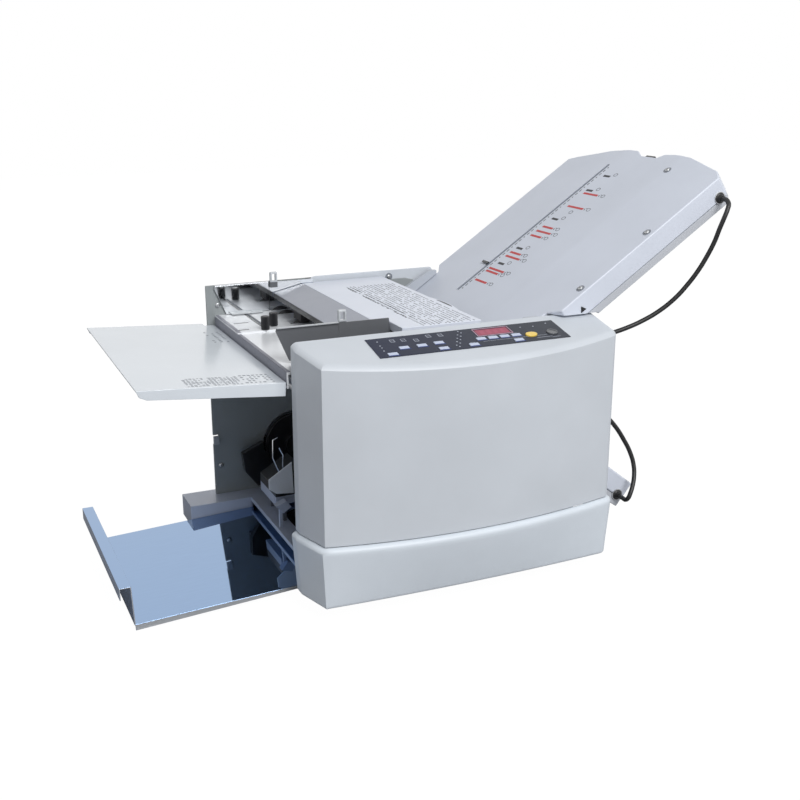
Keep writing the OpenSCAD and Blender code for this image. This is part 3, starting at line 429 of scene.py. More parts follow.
def block(name, low, high, material, put=work):
    """A box between two corners of a face's own frame."""
    (a, b, c), (d, e, f) = low, high
    return prism(name, [(a, b), (d, b), (d, e), (a, e)], c, f, material, put)


def side_view(y):
    """The frame whose outlines are (x, z) and whose depth runs towards the front, from a plane y."""
    return Face((0, y, 0), (1, 0, 0), (0, 0, 1), (0, -1, 0))


def slab(name, outline, from_y, to_y, material):
    """A profile in x and z, stretched from one y to another."""
    return prism(name, outline, 0, to_y - from_y, material, side_view(to_y))


def modifier(obj, kind, **settings):
    made = obj.modifiers.new(kind.lower(), kind)
    for key, value in settings.items():
        setattr(made, key, value)
    return made


def soften(obj, width, segments=3, angle=30.0):
    """Rounds the sharp edges of a clean mesh."""
    modifier(obj, "BEVEL", width=width * MM, segments=segments, limit_method="ANGLE",
             angle_limit=math.radians(angle), miter_outer="MITER_ARC")
    return obj


def drop(*objects):
    for obj in objects:
        bpy.data.objects.remove(obj)


def carve(obj, *cutters):
    """Cuts pieces out of a mesh, and removes them."""
    for cutter in cutters:
        modifier(obj, "BOOLEAN", operation="DIFFERENCE", solver="EXACT", object=cutter)
    settle(obj)
    drop(*cutters)
    return obj


def finished(obj):
    """A new mesh of an object as its modifiers or its curve make it."""
    bpy.context.view_layer.update()
    return bpy.data.meshes.new_from_object(obj.evaluated_get(bpy.context.evaluated_depsgraph_get()))


def settle(obj, sharp=None):
    """Replaces a piece's mesh by its finished form, and smooths all but its sharp edges."""
    done = finished(obj)
    obj.modifiers.clear()
    obj.data = done
    if sharp is not None:
        done.polygons.foreach_set("use_smooth", [True] * len(done.polygons))
        done.set_sharp_from_angle(angle=math.radians(sharp))
    return obj


def even(obj):
    """Keeps broad faces flat beside their rounded edges."""
    modifier(obj, "WEIGHTED_NORMAL", keep_sharp=True, weight=100)
    return settle(obj)


def join(name, parts):
    """One mesh of several pieces, each with its own material."""
    whole = bmesh.new()
    materials = []
    for part in parts:
        settle(part)
        first = len(whole.faces)
        whole.from_mesh(part.data)
        whole.faces.ensure_lookup_table()
        for face in whole.faces[first:]:
            material = part.data.materials[face.material_index]
            if material not in materials:
                materials.append(material)
            face.material_index = materials.index(material)
    drop(*parts)
    mesh = bpy.data.meshes.new(name)
    whole.to_mesh(mesh)
    whole.free()
    for material in materials:
        mesh.materials.append(material)
    return linked(name, mesh)


def stands_for(obj, body, slot, *replaced):
    """Rides a finished piece on its body, and hides the nodes it stands for."""
    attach(obj, body)
    if replaced:
        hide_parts(*replaced)
    return obj


def ready(piece, sharp, flat, body, slot, *replaced):
    """Smooths a piece but for edges sharper than an angle, keeps its faces flat if asked, and rides it."""
    settle(piece, sharp)
    if flat:
        even(piece)
    return stands_for(piece, body, slot, *replaced)


def rounded(name, parts, width, body, slot, *replaced, segments=3):
    """Softens, joins and flattens the parts of one piece."""
    for part in parts:
        soften(part, width, segments)
    return ready(join(name, parts), SHARP, True, body, slot, *replaced)


def lathe(name, profile, put, material, steps=48):
    """Turns a profile of (radius, height) about a face's outward way."""
    points, faces, n = [], [], len(profile)
    for k in range(steps):
        turn = TAU * k / steps
        points += [put(r * math.cos(turn), r * math.sin(turn), h) for r, h in profile]
    for k in range(steps):
        a, b = k * n, (k + 1) % steps * n
        faces += [(a + i, b + i, b + i + 1, a + i + 1) for i in range(n - 1)]
    obj = shape(name, points, faces, material)
    with Edited(obj) as mesh:
        bmesh.ops.remove_doubles(mesh, verts=mesh.verts, dist=SAME_SPOT)
        open_edges = [e for e in mesh.edges if e.is_boundary]
        if open_edges:
            bmesh.ops.holes_fill(mesh, edges=open_edges, sides=0)
        bmesh.ops.recalc_face_normals(mesh, faces=mesh.faces)
    return settle(obj, TURNED_SHARP)


# ---- geometry nodes

class Grow(Tree):
    """A Geometry Nodes tree with named inputs."""

    def __init__(self, name, **inputs):
        self.tree = bpy.data.node_groups.new(name, "GeometryNodeTree")
        kinds = {float: "NodeSocketFloat", int: "NodeSocketInt", str: "NodeSocketGeometry",
                 bpy.types.Material: "NodeSocketMaterial"}
        self.sockets = {}
        for key, value in inputs.items():
            kind = "NodeSocketObject" if value is None else kinds[type(value)]
            self.sockets[key] = self.tree.interface.new_socket(key, in_out="INPUT", socket_type=kind)
        self.tree.interface.new_socket("Geometry", in_out="OUTPUT", socket_type="NodeSocketGeometry")
        self.source = self.tree.nodes.new("NodeGroupInput")
        self.values = inputs

    def given(self, *keys):
        """The named inputs' wires, by their names."""
        return {key: Wire(self, self.source.outputs[key]) for key in keys}

    def copies(self, **inputs):
        """Copies of the tree's Shape on points."""
        piece = self.node("GeometryNodeObjectInfo", inputs={"Object": self.given("Shape")["Shape"]},
                          output="Geometry")
        return self.node("GeometryNodeInstanceOnPoints", inputs={"Instance": piece, **inputs})

    def finish(self, geometry, material):
        real = self.node("GeometryNodeRealizeInstances", inputs={0: geometry})
        done = self.node("GeometryNodeSetMaterial", inputs={"Geometry": real, "Material": material})
        self.node("NodeGroupOutput", inputs={0: done})
        return self

    def apply(self, obj, **values):
        """Runs the tree on an object and keeps the plain mesh."""
        made = modifier(obj, "NODES", node_group=self.tree)
        for key, value in {**self.values, **values}.items():
            if not isinstance(value, str):
                made[self.sockets[key].identifier] = value
        return settle(obj)


def spots(name, places, token, material):
    """Lays copies of a shape of unit size at places: (face, a, b, h, width, depth, thickness, turn)."""
    mesh = bpy.data.meshes.new(name)
    mesh.from_pydata([tuple(put(a, b, h)) for put, a, b, h, *_ in places], [], [])
    turns = mesh.attributes.new("turn", "FLOAT_VECTOR", "POINT")
    sizes = mesh.attributes.new("size", "FLOAT_VECTOR", "POINT")
    for i, (put, _, _, _, width, depth, thick, angle) in enumerate(places):
        basis = put.matrix().to_3x3() @ Matrix.Rotation(math.radians(angle), 3, "Z")
        turns.data[i].vector = basis.to_euler()
        sizes.data[i].vector = (width * MM, depth * MM, thick * MM)
    grow = Grow(name + "_tree", Points="mesh", Shape=None)
    turn, size = (grow.node("GeometryNodeInputNamedAttribute", {"data_type": "FLOAT_VECTOR"}, {"Name": key})
                  for key in ("turn", "size"))
    grow.finish(grow.copies(**grow.given("Points"), Rotation=turn, Scale=size), material)
    return grow.apply(linked(name, mesh), Shape=token)


def lay(slot, *rows):
    """Lays rows of (name, places, token, material) on the machine."""
    for name, *row in rows:
        stands_for(spots(name, *row), FIXED, slot)


def plain(a, b, h):
    """The own frame of a shape of unit size."""
    return Vector((a, b, h))


def unit_shape(sides, material):
    """A flat token of unit width and height on z 0..1: a square for 4 sides, else a disc."""
    if sides == 4:
        return block("token", (-0.5, -0.5, 0), (0.5, 0.5, 1), material, plain)
    return prism("token", arc(0, 0, 0.5, 0.5, 0, TAU, sides)[:-1], 0, 1, material, plain)


# ---- cords

UPPER_ROUTE = [(669, -208, 539), (669, -215, 539), (668, -221, 537), (666, -226, 533), (662, -229, 526),
               (658, -230, 518), (655, -229, 509), (652, -227, 498), (648, -223, 479), (640, -217, 455),
               (630, -212, 434), (618, -206, 414), (602, -200, 394), (581, -192, 375), (558, -185, 361),
               (535, -179, 351), (512, -172, 343), (492, -166, 337), (478, -163, 334), (470, -162, 333),
               (464, -162, 333)]
LOWER_ROUTE = [(464, -162, 226), (472, -162, 226), (484, -162, 224), (500, -163, 218), (515, -165, 208),
               (530, -168, 192), (545, -172, 169), (555, -177, 148), (559, -183, 128), (556, -190, 111),
               (549, -197, 99), (543, -201, 90), (539, -201, 82), (538, -196, 78), (538, -189, 78),
               (538, -180, 78)]
CORD_D = 7.0


def tube(name, route, radius, material, ring, steps, bend):
    """A round tube along a route, still as a curve: its ring and steps set how finely it is cut."""
    curve = bpy.data.curves.new(name, "CURVE")
    curve.dimensions, curve.bevel_depth, curve.bevel_resolution = "3D", radius * MM, ring
    curve.resolution_u, curve.use_fill_caps = steps, True
    line = curve.splines.new("BEZIER")
    line.bezier_points.add(len(route) - 1)
    for knot, spot in zip(line.bezier_points, route):
        knot.co = at(*spot)
        knot.handle_left_type = knot.handle_right_type = bend
    curve.materials.append(material)
    return linked(name, curve)


def cord(name, route):
    """A control lead along its route, as a smooth tube."""
    obj = tube(name + "_lead", route, CORD_D / 2, JACKET, 5, 8, "AUTO")
    stands_for(obj, FIXED, "cord_black", name)
    at(*route[0])


def cords():
    cord("upper_cord", UPPER_ROUTE)
    cord("lower_cord", LOWER_ROUTE)


def glands():
    """Grommets and sockets that the leads leave and enter."""
    sides = upper.side(-UPPER_HALF, 315, -27), lower.side(-LOWER_HALF, LOWER_LEN - 14, -28)
    grommet = [(8.3, 0), (8.3, 1.2), (7.6, 2.2), (6.2, 2.6), (5.6, 3.2), (5.2, 5.5), (4.4, 7), (3.4, 7.2)]
    socket = [(7, 0), (7, 1.6), (5.9, 2.1), (5.9, 5.4), (5.2, 6), (4.7, 9.4), (3.5, 10)]
    ring = [(8.3, -0.2), (9.6, -0.2), (9.6, 0.9), (8.3, 1.3)]
    parts = [lathe("gland", profile, side, ink) for profile, ink in ((grommet, JACKET), (ring, STEEL))
             for side in sides]
    parts += [lathe("socket", socket, end_face.moved(-162, z), JACKET) for z in (333, 226)]
    ready(join("cord_glands_turned", parts), TURNED_SHARP, False, FIXED, "cord_black", "cord_glands")


# ---- covers

def cover_plan(bulge, grow):
    """The front cover's outline from its left back end round the front to the right back end."""
    corner_r, steps, corner_y = 13.0, 72, -258.0
    xa, xb = 16.0, COVER_LEN - 13
    half = (xb - xa) / 2
    radius = (half * half + bulge * bulge) / (2 * bulge)
    reach = math.asin(half / radius)
    cx, cy = (xa + xb) / 2, corner_y - bulge + radius
    line = fillet([(-grow, COVER_BACK_Y), (-grow, -202.0), (xa - grow * 0.8, corner_y - grow * 0.6)], {1: 14.0})
    line += arc(cx, cy, radius + grow, radius + grow, -math.pi / 2 - reach, 2 * reach, steps)[1:]
    end, right = line[-1], COVER_LEN + grow
    corner = (right, end[1] + (right - end[0]) * math.tan(reach))
    return line + fillet([end, corner, (right, COVER_BACK_Y)], {1: corner_r + grow}, 8)[1:]


def fillet(line, radii, steps=6):
    """Rounds chosen corners of an open outline."""
    out = []
    for i, spot in enumerate(line):
        if i not in radii:
            out.append(spot)
            continue
        p, before, after = Vector(spot), Vector(line[i - 1]), Vector(line[i + 1])
        u, v = (before - p).normalized(), (after - p).normalized()
        half = math.acos(max(-1, min(1, u.dot(v)))) / 2
        back = radii[i] / math.tan(half)
        centre = p + (u + v).normalized() * (radii[i] / math.sin(half))
        start, end = p + u * back - centre, p + v * back - centre
        turn = start.angle_signed(end)
        for k in range(steps + 1):
            spin = Matrix.Rotation(-turn * k / steps, 2)
            out.append(tuple(centre + spin @ start))
    return out


def normals(line):
    """Outward directions of an outline that runs anticlockwise seen from above, ends square to X."""
    out = []
    for i in range(len(line)):
        if i in (0, len(line) - 1):
            out.append(Vector((-1.0 if i == 0 else 1.0, 0.0)))
            continue
        before, after = Vector(line[i]) - Vector(line[i - 1]), Vector(line[i + 1]) - Vector(line[i])
        a = Vector((before.y, -before.x)).normalized()
        b = Vector((after.y, -after.x)).normalized()
        m = (a + b).normalized()
        out.append(m / max(0.5, m.dot(a)))
    return out


def loft(name, rows, material):
    """A skin over rows of points, open at its ends."""
    n = len(rows[0])
    points = [p for row in rows for p in row]
    faces = [(r * n + i, r * n + i + 1, (r + 1) * n + i + 1, (r + 1) * n + i)
             for r in range(len(rows) - 1) for i in range(n - 1)]
    return shape(name, points, faces, material)


def close_top(obj, row, opening):
    """Closes the flat top inside the last row of a skin, and leaves an opening in it."""
    with Edited(obj) as mesh:
        mesh.verts.ensure_lookup_table()
        rim = mesh.verts[-row:]
        hole = [mesh.verts.new(p) for p in opening]
        edges = [mesh.edges.get((a, b)) or mesh.edges.new((a, b)) for ring in (rim, hole)
                 for a, b in zip(ring, ring[1:] + ring[:1])]
        made = bmesh.ops.triangle_fill(mesh, use_beauty=True, edges=edges, normal=(0, 0, 1))["geom"]
        for face in made:
            if isinstance(face, bmesh.types.BMFace) and face.normal.z < 0:
                face.normal_flip()


def cover_height(y):
    """How high the cover's sloped top is at a distance across the machine."""
    return COVER_TOP + (y - COVER_BACK_Y) * math.tan(SLOPE)


def front_cover():
    """The bulging front cover, with its top edge and corners rounded."""
    seam, knee, edge, start = 118.6, 354.0, 11.0, math.radians(30)
    low = cover_plan(26, 0)
    high = cover_plan(35, 0)
    out = normals(high)
    rows = []
    for share, lip in ((0, 1.2), (0.004, 0.3), (0.012, 0.0), (0.35, 0.0), (0.7, 0.0), (0.97, 0.0)):
        rows.append([at(a[0] + (b[0] - a[0]) * share - m.x * lip, a[1] + (b[1] - a[1]) * share - m.y * lip,
                        seam + (knee - seam) * share) for a, b, m in zip(low, high, out)])
    for k in range(9):
        phi = start + (math.pi / 2 - start) * k / 8
        inward = edge * (math.cos(start) - math.cos(phi))
        row = []
        for (x, y), m in zip(high, out):
            px, py = x - m.x * inward, y - m.y * inward
            py = min(py, COVER_BACK_Y)
            row.append(at(px, py, cover_height(py) - edge * (1 - math.sin(phi))))
        rows.append(row)
    skin = loft("front_cover_shell", rows, COVER)
    close_top(skin, len(high), [panel(2, -2), panel(285, -2), panel(285, -53), panel(2, -53)])
    modifier(skin, "SOLIDIFY", thickness=2.6 * MM, offset=-1, use_even_offset=True)
    soften(skin, 0.9, 3, 38)
    ready(skin, 19, True, FIXED, "cover_grey", "front_cover")


def front_skirt():
    """The lower skirt, whose ridge stands proud under the seam and draws in towards the floor."""
    profile = [(28.0, 6.4, -3.0), (28.4, 6.4, -1.2), (30.0, 6.8, -0.1), (33.0, 7.6, 0.2), (58.0, 14.0, 1.9),
               (84.0, 20.4, 3.9), (104.0, 25.2, 5.4), (109.5, 26.0, 5.9), (112.5, 26.0, 5.8),
               (114.8, 26.0, 4.6), (116.4, 26.0, 2.6), (117.4, 26.0, 0.4), (117.8, 26.0, -2.0)]
    rows = [[at(x, y, z) for x, y in cover_plan(bulge, grow)] for z, bulge, grow in profile]
    skin = loft("front_skirt_shell", rows, SKIRT)
    modifier(skin, "SOLIDIFY", thickness=2.4 * MM, offset=-1, use_even_offset=True)
    ready(skin, 50, False, FIXED, "cover_grey", "front_skirt")


def rear_cover():
    """The box over the drive side, with its lip under the feed table's rail."""
    def plan(g):
        left, right, back = 18 + g, COVER_LEN - g, 242 - g
        line = [(left, 170), (left, back), (right, back), (right, 170)]
        return fillet(line, {1: 14 - g, 2: 14 - g}, 8)

    shell = soften(prism("rear_cover_shell", plan(0), 28, 370, COVER), 3.5, 4)
    settle(shell)
    carve(shell, block("front", (0, 160, 0), (480, 184.5, 400), COVER),
          prism("hollow", plan(3), 20, 367, COVER),
          block("inlet", (355, 230, 60), (403, 250, 88), COVER),
          block("switch", (415, 230, 62), (439, 250, 86), COVER),
          block("arm", (10, 180, 20), (22, 203.5, 40.5), COVER))
    lip = slab("lip", [(152, 369), (152, 391), (170, 394), (379, 394), (391, 378), (393, 369)],
               184.5, 187.5, COVER)
    settle(soften(lip, 0.8))
    ready(join("rear_cover_shell", [shell, lip]), SHARP, True, FIXED, "cover_grey", "rear_cover")


# ---- fold plates

UPPER_LEN, UPPER_HALF, NARROW_HALF, UPPER_LOW = 359.0, 201.0, 178.0, -85.0
PART_W, SHELL_T, SLOT_Y = -32.0, 2.5, 64.0
CREASES, CROWN = (-85.0, 55.0), 7.0
LOWER_LEN, LOWER_HALF = 290.0, 173.0


def upper_plan(g):
    """The upper plate's outline, drawn in by g."""
    e, a, b = UPPER_LEN - g, UPPER_HALF - g, NARROW_HALF - g
    return [(UPPER_LOW + g, -b), (-2 + g, -b), (12 + g, -a), (e - 31, -a), (e - 24, -a + 9), (e - 18, -184),
            (e - 1, -106), (e, -69), (e - 3, -43), (e - 13, -33), (e - 13, 8), (e - 2, 30), (e - 2, 52),
            (e - 8, 102), (e - 16, 128), (e - 30, 180), (e - 38, a), (12 + g, a), (-2 + g, b),
            (UPPER_LOW + g, b)]


def crown(y):
    """How far the upper plate's face stands up at a distance across the machine."""
    edge = UPPER_HALF + 1
    return CROWN * max(0.0, min(1.0, (y + edge) / (edge + CREASES[0]), (edge - y) / (edge - CREASES[1])))


def crowned(outline, low, high):
    """A prism in the upper plate's frame whose top follows the crowned face."""
    obj = prism("crowned", outline, low, high, PLATE, upper)
    with Edited(obj) as mesh:
        for y in CREASES:
            bmesh.ops.bisect_plane(mesh, geom=mesh.verts[:] + mesh.edges[:] + mesh.faces[:],
                                   plane_co=work(0, y, 0), plane_no=(0, 1, 0))
        for vert in mesh.verts:
            if (vert.co - upper(0, 0)).dot(upper.out) / MM > high - 1:
                vert.co += upper.out * crown(vert.co.y / MM + Y_MID) * MM
    return obj


def notches(wall):
    """Room for the covers under the overhanging edges of the upper plate."""
    return (block("notch", (333, -220, 300), (467 + wall, -178.5 + wall, 385 + wall), PLATE),
            block("notch", (333, 178.5 - wall, 300), (467 + wall, 220, 372 + wall), PLATE))


def upper_plate_top():
    hollow = carve(crowned(upper_plan(SHELL_T), PART_W - 1, -SHELL_T), *notches(SHELL_T))
    shell = settle(soften(crowned(upper_plan(0), PART_W, 0), 2.2, 3, 8))
    carve(shell, *notches(0), hollow,
          block("slot", (-25, SLOT_Y - 1.8, -20), (315, SLOT_Y + 1.8, 30), PLATE, upper),
          block("mouth", (UPPER_LOW - 1, -175.5, PART_W - 1), (UPPER_LOW + 3.5, 175.5, -8), PLATE, upper))
    settle(shell, SHARP)
    mesh = shell.data
    for edge in mesh.edges:
        spots_y = [mesh.vertices[i].co.y / MM + Y_MID for i in edge.vertices]
        if any(max(abs(v - y) for v in spots_y) < 0.01 for y in CREASES):
            edge.use_edge_sharp = True
    shell.name = "upper_plate_shell"
    stands_for(even(shell), FIXED, "plate_grey", "upper_plate_top")


def lower_plate_top():
    shell = block("lower_plate_shell", (0, -LOWER_HALF, -30), (LOWER_LEN, LOWER_HALF, 0), PLATE, lower)
    settle(soften(shell, 3.0, 4))
    carve(shell, block("hollow", (2.5, -170.5, -31), (287.5, 170.5, -2.5), PLATE, lower),
          block("mouth", (-1, -150, -31), (10, 150, -14), PLATE, lower))
    ready(shell, SHARP, True, FIXED, "plate_grey", "lower_plate_top")


# ---- tables, tray and lid

def feed_table():
    """The outer feed table: a glossy painted sheet with its edges turned down."""
    sheet = prism("sheet", [(-197, -182), (0, -182), (0, 178), (-16, 178), (-16, 192), (-197, 192)], -2, 0,
                  TABLE, table)
    parts = [sheet]
    for y, near in ((-180.5, 0), (192, -16)):
        parts.append(prism("edge", [(-197, -0.6), (near, -0.6), (near, -19), (-183, -13), (-193, -9)], 0, 1.5,
                           TABLE, table.side(y)))
    for y in (-100, 100):
        parts.append(slab("knuckle", [(-22, 329), (-8, 329), (-8, 318), (-11, 314), (-19, 314), (-22, 318)],
                          y - 4, y + 4, STEEL))
    rounded("feed_table_sheet", parts, 0.7, "feed_table", "table_white", "feed_table")


TRAY_FRONT, TRAY_BACK = -161, 142
LID_TOP = 386.0


def delivery_tray():
    """The polished sliding tray, with one edge turned down and its stop bent up at the outer end."""
    sheet_t, n = 1.5, 6
    points = []
    for a, lip in ((120, -9 * 0.45), (-222, -9)):
        points += [tray(a, y, h) for y, h in (
            (TRAY_FRONT, lip), (TRAY_FRONT, 0), (TRAY_BACK, 0), (TRAY_BACK, -sheet_t),
            (TRAY_FRONT + sheet_t, -sheet_t), (TRAY_FRONT + sheet_t, lip))]
    faces = [tuple(range(n)), tuple(range(2 * n - 1, n - 1, -1))]
    faces += [(i, n + i, n + (i + 1) % n, (i + 1) % n) for i in range(n)]
    sheet = shape("sheet", points, faces, STEEL_BLUE_REFLECTION)
    with Edited(sheet) as mesh:
        bmesh.ops.recalc_face_normals(mesh, faces=mesh.faces)
    stop = slab("stop", [(-222.5, 8.9), (-225, 65.5), (-238.1, 65.5), (-238.1, 49), (-239.6, 49), (-239.6, 67),
                         (-223.5, 67), (-221, 10.4)], TRAY_FRONT, TRAY_BACK, STEEL_BLUE_REFLECTION)
    rounded("delivery_tray_sheet", [sheet, stop], 0.55, "delivery_tray", "polished_steel", "delivery_tray")


def top_cover():
    """The lid over the rollers, with a thumb tab on its edge."""
    reach, tab_x, tab_y = 199.0, 93.0, -58.0
    half = math.acos((286 - tab_x) / reach)
    outline = [(144, -133), (163.5, -133), (163.5, -178), (286, -178)]
    outline += arc(tab_x, tab_y, reach, reach, -half, 2 * half, 16)
    outline += [(286, 178), (163.5, 178), (163.5, 173), (144, 173)]
    parts = [prism("lid", outline, LID_TOP - 3, LID_TOP, LID),
             block("lip", (144, -133, 376), (147, 173, 384), LID),
             block("lip", (163.5, -175, 374), (166, -133, 384), LID)]
    parts += [block("skirt", (163.5, y, 374), (286, y + 3, 384), LID) for y in (-178, 175)]
    for part in parts:
        soften(part, 0.9)
    for y in (-110, 80):
        barrel = Face((279, y, 379), (0, 0, 1), (1, 0, 0), (0, 1, 0))
        parts.append(lathe("barrel", [(2.6, 0.3), (5.4, 0), (6, 0.6), (6, 29.4), (5.4, 30), (2.6, 29.7)],
                           barrel, LID))
    ready(join("top_cover_lid", parts), SHARP, True, "top_cover", "lid_grey", "top_cover")


def wire(route, y):
    """A bent spring wire in a plane along the machine, from (x, z) points, as a mesh."""
    curve = tube("wire_route", [(x, y, z) for x, z in route], 1.0, WIRE_STEEL_AND_HIGHLIGHT, 2, 4, "VECTOR")
    mesh = finished(curve)
    drop(curve)
    return linked("wire", mesh)


def delivery_bracket():
    """What stands in the delivery: dark block, white chute with a black box behind it painted as the shade
    inside, its stays, a tab and two spring wires.
    """
    parts = [slab("block", [(23, 115), (60, 131), (61, 117), (89, 74), (68, 59), (48, 55), (27, 83)],
                  150, 162, BLACK),
             block("arm", (30, 162, 84), (48, 180, 100), BRACKET),
             slab("chute", [(26, 116), (64, 140), (66, 88), (38, 91), (26, 100)], 17.5, 20, WEDGE),
             # A black box behind the chute, painted as the shade inside the delivery.
             slab("body", [(37, 99), (83, 126), (82, 85), (37, 84)], 20, 100, BLACK),
             slab("sill", [(37, 85), (82, 86), (84, 73), (37, 69)], 20, 100, BASE),
             block("post", (37, 4, 40), (42, 9, 78), BASE),
             slab("tab", [(30, 78), (47, 85), (55, 74), (42, 65)], -2, 12, BASE)]
    parts += [block("stay", (50, y, 40), (56, y + 4, 76), BRACKET) for y in (26, 90)]
    rounded("delivery_bracket_finished", parts, 0.7, FIXED, "bracket_grey", "delivery_bracket")
    wires = [wire(route, 42) for route in ([(50, 174), (42, 171), (41, 142), (50, 119), (52, 104)],
                                           [(52, 157), (58, 144), (57, 126), (60, 112)])]
    ready(join("delivery_wires", wires), 60, False, FIXED, "bright_steel")


def tray_edge():
    """A brighter steel skin over the front faces of the tray's turned edge and of its stop: a painted
    highlight.
    """
    thick = 0.25
    strip = prism("strip", [(-221.5, -0.4), (120, -0.4), (120, -3.6), (-221.5, -8.4)], 0, thick, WIRE_STEEL_AND_HIGHLIGHT,
                  tray.side(TRAY_FRONT))
    stop = slab("stop", [(-222.3, 9.4), (-224.8, 65.7), (-238.3, 65.7), (-238.3, 49.4), (-239.4, 49.4),
                         (-239.4, 66.8), (-223.7, 66.8), (-221.2, 10.2)], TRAY_FRONT - thick, TRAY_FRONT, WIRE_STEEL_AND_HIGHLIGHT)
    ready(join("tray_edge", [strip, stop]), 30, False, "delivery_tray", "polished_steel")


def dark_edges():
    """The separator cover's dark lower edge, a black strip painted as the shadow band beneath it; the deck's
    dark marks; and grey strips along the deck's left end, its top edge and lip painted as the shadow of the gap
    beside the feed table.
    """
    # A black strip painted as the shadow band under the separator cover.
    parts = [block("edge", (92.4, -133, 366.6), (93, 173, 374.4), BLACK),
             block("slot_seal", (40, 54, 345), (43, 175, 345.5), BLACK),
             block("mark", (7, 108, 345), (30, 110.5, 345.4), BLACK),
             block("mark", (1, 63, 345), (18, 66, 345.4), BLACK),
             # The deck's left edge and lip, coloured as the shadow of the gap beside the feed table.
             block("seal", (-3.8, -178, 342), (1.2, 49, 342.9), GAP_SHADOW_GREY),
             block("seal", (-3.8, 49, 345), (1.2, 176, 345.8), GAP_SHADOW_GREY),
             block("seal", (-4.5, -178, 324), (-4, 178, 342.6), GAP_SHADOW_GREY)]
    rounded("dark_edges", parts, 0.25, FIXED, "rubber", segments=2)


# ---- side guides and knobs

GUIDE_TOP, GUIDE_SPLIT, GUIDE_T = 392.0, 86.0, 2.0
RAIL_Z = INFEED_Z - 23
BAR_Z = INFEED_Z + 16


def rod(name, x, z, from_y, to_y, radius, material, steps=32):
    """A plain round bar across the machine."""
    ring = arc(x, z, radius, radius, 0, TAU, steps)[:-1]
    return slab(name, ring, from_y, to_y, material)


def side_guide(name, body, face_y, inward, wall, lip):
    """A sliding guide: its wall, pale turned top edge and foot, and the block that runs on the rail."""
    low = min(face_y, face_y + inward * GUIDE_T)
    foot = min(face_y, face_y + inward * 14)
    neck = min(face_y + inward * 4, face_y + inward * 14)
    runner = carve(block("runner", (36, neck - 4, RAIL_Z - 9), (56, neck + 14, RAIL_Z + 9), BLACK),
                   rod("bore", 46, RAIL_Z, neck - 6, neck + 16, 5.05, BLACK))
    parts = [
        slab("wall", [(-4, GUIDE_TOP - 4), (-3, GUIDE_TOP), (GUIDE_SPLIT, GUIDE_TOP),
                      (GUIDE_SPLIT, INFEED_Z + 1), (14, INFEED_Z + 1)], low, low + GUIDE_T, wall),
        block("edge", (-3, low - (3 if inward > 0 else 0), GUIDE_TOP),
              (GUIDE_SPLIT, low + GUIDE_T + (0 if inward > 0 else 1), GUIDE_TOP + 1.5), lip),
        block("foot", (20, foot, INFEED_Z + 1), (72, foot + 14, INFEED_Z + 2.5), GUIDE_LIP),
        block("neck", (43.9, neck, RAIL_Z + 6), (48.1, neck + 10, INFEED_Z + 1), STEEL)]
    for part in parts:
        soften(part, 0.4, 2)
    ready(join(name + "_finished", parts + [runner]), SHARP, True, body, "guide_grey", name)


def side_plates():
    """The fixed guide walls behind the sliding ones, and the clips that stand on them."""
    left, right, clip_x, clip_w, clip_h = GUIDE_SPLIT + 0.5, 161.0, GUIDE_SPLIT + 1, 12, 17
    near, far = [(left, INFEED_Z), (left, GUIDE_TOP), (right, GUIDE_TOP)], [(right + 2, INFEED_Z)]
    front = slab("wall", near + [(right + 2, INFEED_Z + 28)] + far, -138, -136, GUIDE)
    rear = slab("wall", near + far, 176, 178, SHEEN)
    parts = [carve(wall, rod("bore", 112, BAR_Z, -180, 180, 6.05, GUIDE)) for wall in (front, rear)]
    for y in (-136, 170):
        parts.append(block("clip_foot", (clip_x, y, GUIDE_TOP - 8), (clip_x + clip_w, y + 6, GUIDE_TOP), GUIDE))
        outline = [(clip_x, GUIDE_TOP), (clip_x + clip_w, GUIDE_TOP),
                   (clip_x + clip_w, GUIDE_TOP + clip_h), (clip_x, GUIDE_TOP + clip_h)]
        clip = settle(soften(slab("clip", outline, y, y + 6, CLEAR), 1.6, 4))
        parts.append(carve(clip, block("window", (clip_x + 3, y - 1, GUIDE_TOP + 3),
                                       (clip_x + clip_w - 3, y + 7, GUIDE_TOP + clip_h - 3), CLEAR)))
    ready(join("side_plates_finished", parts), SHARP, True, FIXED, "guide_grey", "side_plates")


def knob(name, body, x, y):
    """A ribbed locking knob on its threaded stem."""
    stand = work.moved(x, y, INFEED_Z + 0.4)
    ribs, rise = 32, [(5.3, 0), (6.2, 0.7), (6.5, 1.2), (6.5, 19.6), (6.1, 20.4), (5.0, 20.9), (3.4, 20.4)]
    points, faces, n, turns = [], [], len(rise), ribs * 4
    for k in range(turns):
        a, cut = TAU * k / turns, (0, 0.5, 0.8, 0.5)[k % 4]
        for r, h in rise:
            groove = r - (cut if 0.5 < h < 20.5 else 0)
            points.append(stand(groove * math.cos(a), groove * math.sin(a), h))
    for k in range(turns):
        p, q = k * n, (k + 1) % turns * n
        faces += [(p + i, q + i, q + i + 1, p + i + 1) for i in range(n - 1)]
    faces.append(tuple(k * n + n - 1 for k in range(turns)))
    faces.append(tuple(k * n for k in range(turns - 1, -1, -1)))
    cap = shape("cap", points, faces, KNURLED)
    stem = lathe("stem", [(2.2, -10.4), (3, -9.6), (3, 0.2)], stand, STEEL, 24)
    ready(join(name + "_finished", [cap, stem]), TURNED_SHARP, False, body, "black_plastic", name)


# ---- panel

THIN, BOLD = 0.12, 0.14
KEYS = [(20.7, 48), (42.7, 33.7), (69, 32.8), (95, 30.5), (94.7, 47.5), (140.4, 46.5), (157.8, 32.7),
        (176, 32.7), (194, 32.7), (212, 32.7), (208.7, 47.5)]
START_AT, STOP_AT, DISPLAY_AT = (233.5, 37.5), (267, 37), (184.5, 14.5)


